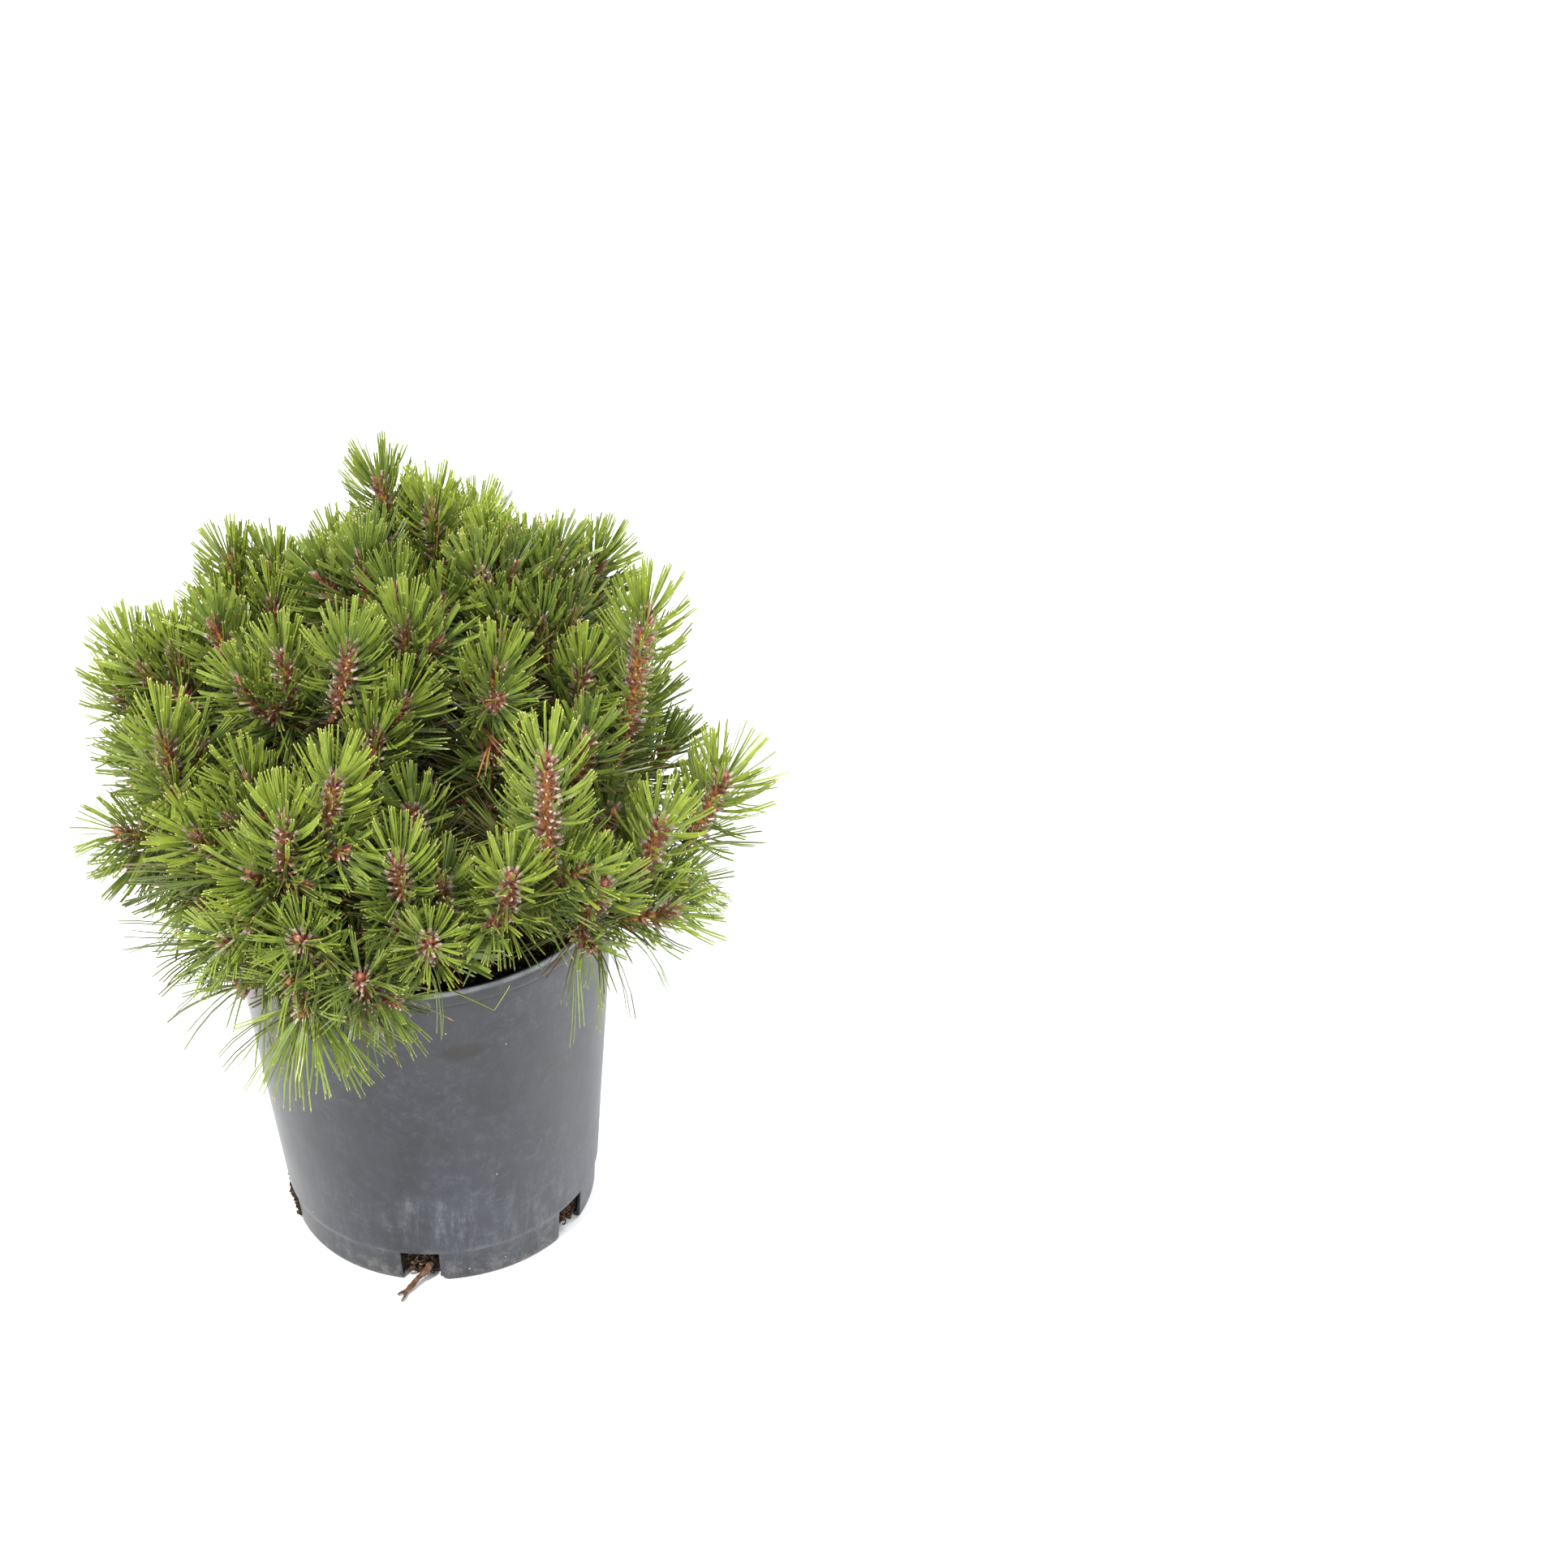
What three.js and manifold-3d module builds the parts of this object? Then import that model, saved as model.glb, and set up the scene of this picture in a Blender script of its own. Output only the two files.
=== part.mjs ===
// A dwarf mountain pine (mugo pine) growing in its black nursery can.
// Millimetres, +Z up. The origin is the centre of the can's flat underside, and
// the shrub's fullest, lowest side faces -Y.
//
// One short stem stands in the potting mix. Nine boughs leave it in two whorls
// and a leader, and each ends inside a mass of foliage. A mass is the space that
// a leading shoot and its side shoots fill with needles: a bottle-brush round
// each shoot, cut off half way to the neighbouring masses.
import * as THREE from 'three';
import { mergeVertices } from 'three/addons/utils/BufferGeometryUtils.js';
import Module from 'manifold-3d';

const wasm = await Module();
wasm.setup();

// ---------------------------------------------------------------- sizes, mm
const RAD = Math.PI / 180;

const CAN_HEIGHT = 244; // underside to the top of the rim
const CAN_FOOT_RADIUS = 97.5; // of the body's cone at the underside
const CAN_BODY_RADIUS = 118; // of the cone just under the rim band
const CAN_RIM_RADIUS = 120.2;
const CAN_WALL = 2.2;
const CAN_FLOOR = 2.5;
const RIM_BAND = 10; // height of the thickened rim
const FOOT_BAND = 24; // height of the inset foot
const FOOT_INSET = 1.2;
const CAN_SEGMENTS = 32;

const SLOT_WIDTH = 24; // drainage slots through the foot
const SLOT_FIRST_AZIMUTH = -95;
const SLOT_TURNS = [0, 64, -69, 140, -142]; // how far each slot stands round the foot from the first
const SLOT_INNER_REACH = 88; // how near the axis a slot reaches in the floor
const SLOT_SOIL_REACH = 90.5; // how near the axis the mix has washed out

const SOIL_TOP = 226; // surface of the potting mix
const SOIL_GAP = 0.5; // between the mix and the can
const SOIL_FLAT = 26; // radius of the level patch that the stem stands on

const STEM_BASE_RADIUS = 11.5;
const STEM_TOP_RADIUS = 8;
const STEM_HEIGHT = 44;
const STEM_LEAN = [3, 2]; // sideways drift of the stem's top, X and Y
const FLARE_HEIGHT = 13;
const FLARE_SPREAD = 6.5; // how much the root flare adds to the stem's radius
const FLARE_LOBES = 5;

const BOUGH_BASE_RADIUS = 5.2;
const BOUGH_TIP_RADIUS = 3.2;
const BOUGH_ENTRY = 11; // how deep a bough's end reaches into its mass
const LOW_WHORL = 10; // heights of the whorls above the mix
const HIGH_WHORL = 29;

const GAP = 0.4; // air between solids that would otherwise touch
const CELL_GAP = 1.2; // air between neighbouring masses
const HUG = 3.5; // air between the can's wall and hanging foliage

const ROOT_RADIUS = 2.2; // the one root that has grown out of a slot

// ------------------------------------------------------------- the foliage
// Each mass is told by its leading shoot: azimuth of the bud about the can's
// axis, its reach from that axis, its height above the underside, the shoot's
// lean from upright, the swing of that lean from straight outwards, the shoot's
// length, the radius of its brush of needles, and its number of side shoots.
const FOLIAGE = {
  //                    azim reach height lean swing length brush side
  top_back:            [  99,  76, 478,  11,   30,  72, 29, 0],
  top_peak:            [  68,  54, 473,   6,   60,  78, 33, 1],
  top_left:            [ 146,  30, 444,  12,   20,  48, 35, 2],
  top_right:           [   4,  42, 450,  10,    0,  48, 36, 2],
  left_peak:           [ 146, 123, 421,  18,  -12,  52, 35, 2],
  left_high:           [ 170, 126, 401,  12,  -40,  56, 37, 2],
  left_edge:           [ 170, 168, 377,  26,  -10,  48, 34, 1],
  left_candle:         [-152, 147, 397,   9,   40,  84, 35, 1],
  left_low:            [-157, 172, 329,  57,    8,  52, 33, 2],
  left_face:           [-131, 136, 368,  30,    4,  46, 42, 3],
  inner_left:          [-150,  96, 418,  22,    0,  60, 37, 1],
  face_left:           [-138,  79, 438,  10,   25,  66, 37, 1],
  face_candle:         [-105,  76, 452,  14,   45,  82, 38, 1],
  face_top:            [ -76,  48, 454,   9,    0,  58, 38, 1],
  face_right:          [ -46,  91, 438,  16,    0,  66, 38, 2],
  hollow_back:         [ -88,  88, 404,  24,   15,  44, 36, 2],
  hollow_right:        [ -37, 110, 384,  16,  -15,  48, 37, 2],
  right_peak:          [  26,  82, 446,   8,   40,  48, 38, 3],
  right_upper:         [  -4,  84, 426,   9,  -40,  48, 37, 2],
  right_back_peak:     [  41, 142, 408,  28,  -10,  70, 34, 2],
  right_shoulder:      [ -13, 112, 408,  12,  -10,  50, 36, 1],
  tall_candle:         [  -5, 147, 438,   9,   -3, 128, 37, 1],
  front_left_candle:   [-110, 155, 390,  24,   25,  84, 39, 1],
  front_candle:        [-100, 140, 411,  24,   25,  96, 39, 1],
  front_face:          [ -86, 152, 364,  32,    0,  60, 38, 2],
  front_right_candle:  [ -55, 161, 418,  20,  -22, 128, 41, 1],
  front_star:          [ -65, 167, 351,  36,    0,  50, 38, 2],
  front_left_low:      [-120, 168, 322,  52,    5,  44, 40, 3],
  front_left_skirt:    [-106, 178, 312,  50,    0,  46, 39, 2],
  front_left_hanging:  [-108, 166, 226, 150,    0,  66, 38, 0],
  front_skirt:         [ -86, 178, 322,  46,    0,  44, 35, 3],
  right_star:          [ -47, 176, 329,  39,    0,  50, 39, 2],
  right_front_candle:  [ -30, 176, 341,  21,  -15,  74, 39, 1],
  right_candle:        [  -7, 187, 332,  22,    6,  88, 33, 1],
  right_skirt:         [ -31, 184, 286,  64,   -5,  60, 35, 2],
};

// The far side carries more tiers, spaced evenly with a little unevenness. The
// crown is narrower towards +X, where REAR_TUCK is taken off the reach.
const REAR_TUCK = 26;
const REAR_TIERS = [
  // name           count first azimuth, step, reach, height, lean, length
  { name: 'rear_low', count: 7, first: 17, step: 25, reach: 176, height: 312, lean: 46, length: 62 },
  { name: 'rear_mid', count: 4, first: 24, step: 33, reach: 152, height: 374, lean: 28, length: 62 },
  { name: 'rear_high', count: 1, first: 66, step: 0, reach: 104, height: 432, lean: 16, length: 58 },
];

// Boughs: azimuth where each leaves the stem, its whorl, and the mass it feeds.
const BOUGHS = {
  bough_front:       [ -84, LOW_WHORL, 'front_face'],
  bough_front_left:  [-140, LOW_WHORL, 'left_face'],
  bough_right:       [ -18, LOW_WHORL, 'right_front_candle'],
  bough_back:        [ 122, LOW_WHORL, 'rear_low_5'],
  bough_back_right:  [  46, LOW_WHORL, 'rear_low_2'],
  bough_front_right: [ -52, HIGH_WHORL, 'front_right_candle'],
  bough_left:        [ 172, HIGH_WHORL, 'left_edge'],
  bough_back_high:   [  78, HIGH_WHORL, 'rear_high_1'],
  bough_leader:      [ null, STEM_HEIGHT, 'top_left'],
};

// ------------------------------------------------------------------ helpers
// A repeatable unevenness between -1 and 1.
const uneven = (...n) => {
  let h = 0;
  n.forEach((v, i) => (h += v * (12.9898 + 65.233 * i)));
  const s = Math.sin(h) * 43758.5453;
  return 2 * (s - Math.floor(s)) - 1;
};

const polar = (azimuth, reach, height) =>
  new THREE.Vector3(reach * Math.cos(azimuth * RAD), reach * Math.sin(azimuth * RAD), height);

// Unit direction that leans from upright towards a bearing.
const leaning = (lean, bearing) =>
  new THREE.Vector3(
    Math.sin(lean * RAD) * Math.cos(bearing * RAD),
    Math.sin(lean * RAD) * Math.sin(bearing * RAD),
    Math.cos(lean * RAD),
  );

function toSolid(geometry) {
  const bare = geometry.clone();
  bare.deleteAttribute('normal');
  bare.deleteAttribute('uv');
  const merged = mergeVertices(bare, 1e-4);
  const build = (tri) =>
    new wasm.Manifold(
      new wasm.Mesh({ numProp: 3, vertProperties: merged.attributes.position.array, triVerts: tri }),
    );
  const tri = new Uint32Array(merged.index.array);
  const made = build(tri);
  if (made.volume() > 0) return made;
  for (let i = 0; i < tri.length; i += 3) [tri[i + 1], tri[i + 2]] = [tri[i + 2], tri[i + 1]];
  return build(tri);
}

function toGeometry(solid) {
  const mesh = solid.getMesh();
  const g = new THREE.BufferGeometry();
  g.setAttribute('position', new THREE.BufferAttribute(new Float32Array(mesh.vertProperties), 3));
  g.setIndex(new THREE.BufferAttribute(new Uint32Array(mesh.triVerts), 1));
  g.computeVertexNormals();
  return g;
}

const largest = (solid) =>
  solid.decompose().reduce((a, b) => (b.volume() > a.volume() ? b : a));

// A solid of revolution about +Z from [radius, height] pairs.
const lathe = (profile, segments) =>
  new THREE.LatheGeometry(
    profile.map(([r, z]) => new THREE.Vector2(r, z)),
    segments,
  ).rotateX(Math.PI / 2);

// A tapering limb: a closed cylinder laid along a curve. extra is added to its
// radius, and swell(t, angle) scales it.
function limb(curve, baseRadius, tipRadius, { sides = 8, steps = 5, extra = 0, swell = () => 1 } = {}) {
  const g = new THREE.CylinderGeometry(1, 1, 1, sides, steps, false);
  const p = g.attributes.position;
  const start = curve.getTangentAt(0);
  const side0 = new THREE.Vector3(0, 0, 1).cross(start);
  if (side0.length() < 0.2) side0.set(1, 0, 0);
  const v = new THREE.Vector3();
  for (let i = 0; i < p.count; i++) {
    const t = Math.min(1, Math.max(0, p.getY(i) + 0.5));
    const centre = curve.getPointAt(t);
    const along = curve.getTangentAt(t);
    const a = side0.clone().addScaledVector(along, -side0.dot(along)).normalize();
    const b = along.clone().cross(a);
    const angle = Math.atan2(p.getZ(i), p.getX(i));
    const rim = Math.hypot(p.getX(i), p.getZ(i));
    const r = ((baseRadius + (tipRadius - baseRadius) * t) * swell(t, angle) + extra) * rim;
    v.copy(centre).addScaledVector(a, -r * Math.cos(angle)).addScaledVector(b, r * Math.sin(angle));
    if (t === 0) v.addScaledVector(along, -extra);
    if (t === 1) v.addScaledVector(along, extra);
    p.setXYZ(i, v.x, v.y, v.z);
  }
  return toSolid(g);
}

const group = new THREE.Group();
group.name = 'mugo_pine';
function add(name, solid, colour, roughness) {
  const mesh = new THREE.Mesh(
    toGeometry(solid),
    new THREE.MeshStandardMaterial({ color: new THREE.Color(...colour), roughness, metalness: 0 }),
  );
  mesh.name = name;
  group.add(mesh);
}

// ------------------------------------------------------------------ the can
const coneRadius = (z) =>
  CAN_FOOT_RADIUS + ((CAN_BODY_RADIUS - CAN_FOOT_RADIUS) * z) / (CAN_HEIGHT - RIM_BAND);
const footInner = (z) => coneRadius(z) - FOOT_INSET - CAN_WALL;
const bodyInner = (z) => coneRadius(z) - CAN_WALL;
const rimFoot = CAN_HEIGHT - RIM_BAND;

const canProfile = [
  [0, 0],
  [footInner(0) + CAN_WALL - 1.4, 0],
  [footInner(0) + CAN_WALL, 1.4],
  [footInner(FOOT_BAND) + CAN_WALL, FOOT_BAND],
  [coneRadius(FOOT_BAND + 1), FOOT_BAND + 1],
  [coneRadius(rimFoot - 1.2), rimFoot - 1.2],
  [CAN_RIM_RADIUS - 0.3, rimFoot + 0.4],
  [CAN_RIM_RADIUS, CAN_HEIGHT - 1.4],
  [CAN_RIM_RADIUS - 1.3, CAN_HEIGHT],
  [CAN_RIM_RADIUS - 3.2, CAN_HEIGHT],
  [bodyInner(rimFoot - 2), rimFoot - 2],
  [bodyInner(FOOT_BAND + 3), FOOT_BAND + 3],
  [footInner(FOOT_BAND - 2), FOOT_BAND - 2],
  [footInner(CAN_FLOOR), CAN_FLOOR],
  [0, CAN_FLOOR],
];

// A block that cuts one slot, from a given reach outwards.
function slotBlock(index, fromReach, spare) {
  const out = 40;
  const g = new THREE.BoxGeometry(out, SLOT_WIDTH + 2 * spare, FOOT_BAND + 6 + spare);
  g.translate(fromReach + out / 2, 0, (FOOT_BAND + spare - 6) / 2);
  g.rotateZ((SLOT_FIRST_AZIMUTH + SLOT_TURNS[index]) * RAD);
  return toSolid(g);
}

let can = toSolid(lathe(canProfile, CAN_SEGMENTS));
for (let i = 0; i < SLOT_TURNS.length; i++) can = can.subtract(slotBlock(i, SLOT_INNER_REACH, 0));
add('pot', can, [0.075, 0.08, 0.09], 0.55);

// ------------------------------------------------------------ potting mix
const soilProfile = [
  [0, CAN_FLOOR + SOIL_GAP],
  [footInner(CAN_FLOOR) - SOIL_GAP, CAN_FLOOR + SOIL_GAP],
  [footInner(FOOT_BAND - 2) - SOIL_GAP, FOOT_BAND - 2],
  [bodyInner(FOOT_BAND + 5) - SOIL_GAP, FOOT_BAND + 5],
  [bodyInner(SOIL_TOP - 5) - SOIL_GAP, SOIL_TOP - 5],
  [98, SOIL_TOP - 1.5],
  [62, SOIL_TOP + 1.5],
  [SOIL_FLAT, SOIL_TOP],
  [0, SOIL_TOP],
];
const soilGeometry = lathe(soilProfile, CAN_SEGMENTS);
{
  const p = soilGeometry.attributes.position;
  for (let i = 0; i < p.count; i++) {
    const r = Math.hypot(p.getX(i), p.getY(i));
    if (p.getZ(i) < SOIL_TOP - 2 || r < SOIL_FLAT + 1 || r > 105) continue;
    const azimuth = Math.round(Math.atan2(p.getY(i), p.getX(i)) / RAD);
    p.setZ(i, p.getZ(i) + 1.3 * Math.sin(azimuth * RAD * 5 + r) + 0.9 * Math.cos(azimuth * RAD * 9));
  }
}
let soil = toSolid(soilGeometry);
for (let i = 0; i < SLOT_TURNS.length; i++) soil = soil.subtract(slotBlock(i, SLOT_SOIL_REACH, -1));
add('root_ball', soil, [0.09, 0.06, 0.04], 1);

// The root that has come out of the front slot, forked at its end.
{
  const out = (reach, drift, z) => {
    const a = SLOT_FIRST_AZIMUTH * RAD;
    return new THREE.Vector3(
      reach * Math.cos(a) + drift * Math.sin(a),
      reach * Math.sin(a) - drift * Math.cos(a),
      z,
    );
  };
  const trunkLine = new THREE.CatmullRomCurve3([
    out(SLOT_SOIL_REACH + 1.6, -4.8, 9.4),
    out(95.6, -3.7, 8.4),
    out(98.7, 0.8, 5.8),
    out(107.9, 6.6, 2.6),
  ]);
  const forkA = new THREE.CatmullRomCurve3([out(106.9, 5.9, 2.6), out(110, 9.8, 2.1), out(112.2, 12.9, 1.6)]);
  const forkB = new THREE.CatmullRomCurve3([out(106.9, 5.9, 2.6), out(112.5, 8.4, 2.1), out(117.7, 9.7, 1.5)]);
  const root = limb(trunkLine, ROOT_RADIUS, ROOT_RADIUS * 0.8, { sides: 7, steps: 5 })
    .add(limb(forkA, ROOT_RADIUS * 0.72, ROOT_RADIUS * 0.42, { sides: 6, steps: 2 }))
    .add(limb(forkB, ROOT_RADIUS * 0.72, ROOT_RADIUS * 0.42, { sides: 6, steps: 2 }));
  add('stray_root', root, [0.3, 0.2, 0.13], 0.9);
}

// ----------------------------------------------------------------- the stem
const stemFoot = new THREE.Vector3(0, 0, SOIL_TOP + GAP);
const stemAt = (h) =>
  new THREE.Vector3(
    (STEM_LEAN[0] * h) / STEM_HEIGHT,
    (STEM_LEAN[1] * h) / STEM_HEIGHT,
    stemFoot.z + h,
  );
const stemRadius = (h) => STEM_BASE_RADIUS + ((STEM_TOP_RADIUS - STEM_BASE_RADIUS) * h) / STEM_HEIGHT;
function stemSolid(extra) {
  const g = new THREE.CylinderGeometry(1, 1, 1, 15, 6, false);
  const p = g.attributes.position;
  for (let i = 0; i < p.count; i++) {
    const level = Math.min(1, Math.max(0, p.getY(i) + 0.5));
    const h = STEM_HEIGHT * level ** 1.6; // rings crowd towards the flare
    const angle = Math.atan2(p.getZ(i), p.getX(i));
    const rim = Math.hypot(p.getX(i), p.getZ(i));
    const flare = Math.max(0, 1 - h / FLARE_HEIGHT) ** 1.7;
    const lobes = 1 + 0.32 * Math.cos(FLARE_LOBES * angle);
    const r = (stemRadius(h) + FLARE_SPREAD * flare * lobes + extra) * rim;
    const c = stemAt(h);
    const z = level === 0 ? c.z : level === 1 ? c.z + extra : c.z;
    p.setXYZ(i, c.x + r * Math.cos(angle), c.y + r * Math.sin(angle), z);
  }
  return toSolid(g);
}
add('stem', stemSolid(0), [0.25, 0.16, 0.11], 0.95);
const stemRoom = stemSolid(GAP);

// ------------------------------------------------------- masses of foliage
const rows = Object.entries(FOLIAGE).map(([name, s]) => [name, ...s]);
for (const tier of REAR_TIERS)
  for (let i = 0; i < tier.count; i++) {
    const j = (k) => uneven(i + 1, tier.reach, k);
    const azimuth = tier.first + tier.step * i + 4 * j(1);
    rows.push([
      `${tier.name}_${i + 1}`,
      azimuth,
      tier.reach + 6 * j(2) - REAR_TUCK * Math.max(0, Math.cos(azimuth * RAD)) ** 2,
      tier.height + 11 * j(3),
      tier.lean + 6 * j(4),
      12 * j(5),
      tier.length + 10 * j(6),
      38 + 2 * j(7),
      3,
    ]);
  }

const masses = rows.map(([name, azimuth, reach, height, lean, swing, length, brush, side], n) => {
  const bud = polar(azimuth, reach, height);
  const axis = leaning(lean, azimuth + swing);
  // The brush stops a little short of the bud, as its needles point forward.
  const shoots = [{ from: bud.clone().addScaledVector(axis, -length), to: bud.clone().addScaledVector(axis, -7), r: brush }];
  const across = new THREE.Vector3(0, 0, 1).cross(axis).normalize();
  if (across.lengthSq() < 0.5) across.set(1, 0, 0);
  const up = axis.clone().cross(across);
  for (let k = 0; k < side; k++) {
    const turn = (360 / side) * k + 90 * uneven(n, k, 3) + 40;
    const spread = (38 + 9 * uneven(n, k, 4)) * RAD;
    const way = axis.clone().multiplyScalar(Math.cos(spread))
      .addScaledVector(across, Math.sin(spread) * Math.cos(turn * RAD))
      .addScaledVector(up, Math.sin(spread) * Math.sin(turn * RAD));
    const foot = bud.clone().addScaledVector(axis, -0.85 * length);
    shoots.push({ from: foot, to: foot.clone().addScaledVector(way, 0.62 * length), r: brush * 0.8 });
  }
  const centre = bud.clone().addScaledVector(axis, -0.45 * length - 4);
  return { name, n, axis, centre, shoots, weight: brush };
});

// How far a brush round from-to reaches from a point inside it, along way.
function brushReach(point, way, shoot) {
  const near = (d) => {
    const q = point.clone().addScaledVector(way, d);
    const line = shoot.to.clone().sub(shoot.from);
    const t = Math.min(1, Math.max(0, q.clone().sub(shoot.from).dot(line) / line.lengthSq()));
    return q.distanceTo(shoot.from.clone().addScaledVector(line, t)) - shoot.r;
  };
  let last = -1;
  for (let d = 0; d <= 130; d += 5) if (near(d) < 0) last = d;
  if (last < 0) return 0;
  let lo = last;
  let hi = last + 5;
  for (let i = 0; i < 8; i++) (near((lo + hi) / 2) < 0) ? (lo = (lo + hi) / 2) : (hi = (lo + hi) / 2);
  return lo;
}

// The surface of a mass, seen from its centre, without its neighbours.
const freeReach = (m, way) => {
  const r = Math.max(...m.shoots.map((s) => brushReach(m.centre, way, s)));
  const ragged =
    Math.sin(7 * way.x + 1.7 * m.n) * Math.sin(6 * way.y + 2.3 * m.n) * Math.sin(6.5 * way.z + m.n);
  return r * (1 + 0.07 * ragged);
};

// The same, stopped half way to each neighbour.
const reachOf = (m, way) => {
  let r = freeReach(m, way);
  for (const o of masses) {
    if (o === m) continue;
    const between = o.centre.clone().sub(m.centre);
    const apart = between.length();
    const facing = way.dot(between) / apart;
    if (facing < 1e-3) continue;
    const wall = (apart * apart + m.weight ** 2 - o.weight ** 2) / (2 * apart) - CELL_GAP / 2;
    r = Math.min(r, wall / facing);
  }
  return Math.max(r, 2);
};

function massSolid(m) {
  const g = new THREE.SphereGeometry(1, 10, 7);
  const turn = new THREE.Quaternion().setFromUnitVectors(new THREE.Vector3(0, 1, 0), m.axis);
  const p = g.attributes.position;
  const way = new THREE.Vector3();
  for (let i = 0; i < p.count; i++) {
    // round to the grid so that the seam and the poles close exactly
    way.set(+p.getX(i).toFixed(5), +p.getY(i).toFixed(5), +p.getZ(i).toFixed(5));
    way.normalize().applyQuaternion(turn);
    const q = m.centre.clone().addScaledVector(way, reachOf(m, way));
    p.setXYZ(i, +q.x.toFixed(3), +q.y.toFixed(3), +q.z.toFixed(3));
  }
  return toSolid(g);
}

// ---------------------------------------------------------------- the boughs
const byName = Object.fromEntries(masses.map((m) => [m.name, m]));
const boughCurves = {};
for (const [name, [azimuth, height, target]] of Object.entries(BOUGHS)) {
  const m = byName[target];
  const leader = azimuth === null;
  const start = stemAt(leader ? height - 2 : height);
  const first = leader ? new THREE.Vector3(-0.1, 0.1, 1).normalize() : leaning(58, azimuth);
  const span = m.centre.distanceTo(start);
  const inwards = start.clone().sub(m.centre).normalize();
  const end = m.centre.clone().addScaledVector(inwards, Math.max(3, reachOf(m, inwards) - BOUGH_ENTRY));
  const lift = m.axis.clone().lerp(end.clone().sub(start).normalize(), 0.55).normalize();
  boughCurves[name] = new THREE.CatmullRomCurve3([
    start,
    start.clone().addScaledVector(first, span * 0.3),
    end.clone().addScaledVector(lift, -span * 0.3),
    end,
  ]);
}
const knobbly = (seed) => (t, angle) =>
  1 + 0.1 * Math.sin(13 * t + seed) + 0.05 * Math.sin(3 * angle + 9 * t + seed);
const boughRooms = [];
Object.entries(boughCurves).forEach(([name, curve], i) => {
  const swell = knobbly(i);
  let bough = limb(curve, BOUGH_BASE_RADIUS, BOUGH_TIP_RADIUS, { sides: 7, steps: 5, swell });
  bough = largest(bough.subtract(stemRoom));
  add(name, bough, [0.36, 0.24, 0.16], 0.9);
  boughRooms.push(limb(curve, BOUGH_BASE_RADIUS, BOUGH_TIP_RADIUS, { sides: 7, steps: 5, swell, extra: GAP + 0.2 }));
});

// The space of the can and what is in it, with the air that foliage leaves.
const keepClear = toSolid(
  lathe(
    [
      [0, -5],
      [coneRadius(0) + HUG, -5],
      [coneRadius(rimFoot) + HUG, rimFoot - 4],
      [CAN_RIM_RADIUS + HUG, rimFoot + 2],
      [CAN_RIM_RADIUS + HUG, CAN_HEIGHT + 1],
      [CAN_RIM_RADIUS - 2, CAN_HEIGHT + 3],
      [0, CAN_HEIGHT + 3],
    ].map(([r, z]) => [r / Math.cos(Math.PI / 24), z]),
    24,
  ),
);

const hue = (n) => [0.2 + 0.05 * uneven(n, 1), 0.36 + 0.06 * uneven(n, 2), 0.08 + 0.02 * uneven(n, 3)];
for (const m of masses) {
  let solid = massSolid(m);
  for (const room of [keepClear, stemRoom, ...boughRooms]) {
    if (solid.intersect(room).volume() > 0) solid = largest(solid.subtract(room));
  }
  add(`foliage_${m.name}`, solid, hue(m.n), 0.8);
}

export default group;
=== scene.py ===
import math

import bpy
import bmesh
import numpy as np
from mathutils import Matrix, Vector, noise


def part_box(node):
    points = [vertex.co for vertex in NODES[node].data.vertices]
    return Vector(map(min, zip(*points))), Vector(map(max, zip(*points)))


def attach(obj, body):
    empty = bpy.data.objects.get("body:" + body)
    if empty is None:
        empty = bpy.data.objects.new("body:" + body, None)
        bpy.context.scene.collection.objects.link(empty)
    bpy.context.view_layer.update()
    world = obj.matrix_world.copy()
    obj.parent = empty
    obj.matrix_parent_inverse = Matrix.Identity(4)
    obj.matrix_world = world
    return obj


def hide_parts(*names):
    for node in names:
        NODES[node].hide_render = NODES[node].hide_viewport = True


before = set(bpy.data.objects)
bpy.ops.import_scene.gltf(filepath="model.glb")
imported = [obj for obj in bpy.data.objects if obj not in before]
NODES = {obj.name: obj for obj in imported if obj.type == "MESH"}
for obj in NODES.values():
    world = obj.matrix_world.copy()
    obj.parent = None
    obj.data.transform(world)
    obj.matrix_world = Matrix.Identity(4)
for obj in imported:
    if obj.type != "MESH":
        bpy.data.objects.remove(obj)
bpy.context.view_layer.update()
MASSES = sorted(n for n in NODES if n.startswith("foliage_"))
BOUGHS = sorted(n for n in NODES if n.startswith("bough_"))
MM = 0.001
RAD = math.pi / 180
GOLDEN = math.pi * (3 - math.sqrt(5))
scene = bpy.context.scene

# ------------------------------------------------------------------ camera
CAM_AT = np.array([0.22404, -1.79940, 1.55450])
CAM_PITCH, CAM_ROLL, CAM_F = 0.6063, -0.0187, 4492.4
forward = np.array([0.0, math.cos(CAM_PITCH), -math.sin(CAM_PITCH)])
right = np.array([1.0, 0.0, 0.0])
up = np.cross(right, forward)
right, up = (
    math.cos(CAM_ROLL) * right + math.sin(CAM_ROLL) * up,
    -math.sin(CAM_ROLL) * right + math.cos(CAM_ROLL) * up,
)
cam_data = bpy.data.cameras.new("camera")
cam_data.sensor_width = 36.0
cam_data.sensor_fit = "HORIZONTAL"
cam_data.lens = CAM_F * 36.0 / 1932.0
cam_data.clip_start = 0.05
cam_data.clip_end = 60
cam = bpy.data.objects.new("camera", cam_data)
scene.collection.objects.link(cam)
cam.matrix_world = Matrix(
    [
        [right[0], up[0], -forward[0], CAM_AT[0]],
        [right[1], up[1], -forward[1], CAM_AT[1]],
        [right[2], up[2], -forward[2], CAM_AT[2]],
        [0, 0, 0, 1],
    ]
)
scene.camera = cam


# --------------------------------------------------------------- materials
def srgb(r, g, b):
    return tuple(((c / 255) / 12.92 if c / 255 <= 0.04045 else (((c / 255) + 0.055) / 1.055) ** 2.4) for c in (r, g, b)) + (1.0,)


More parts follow.
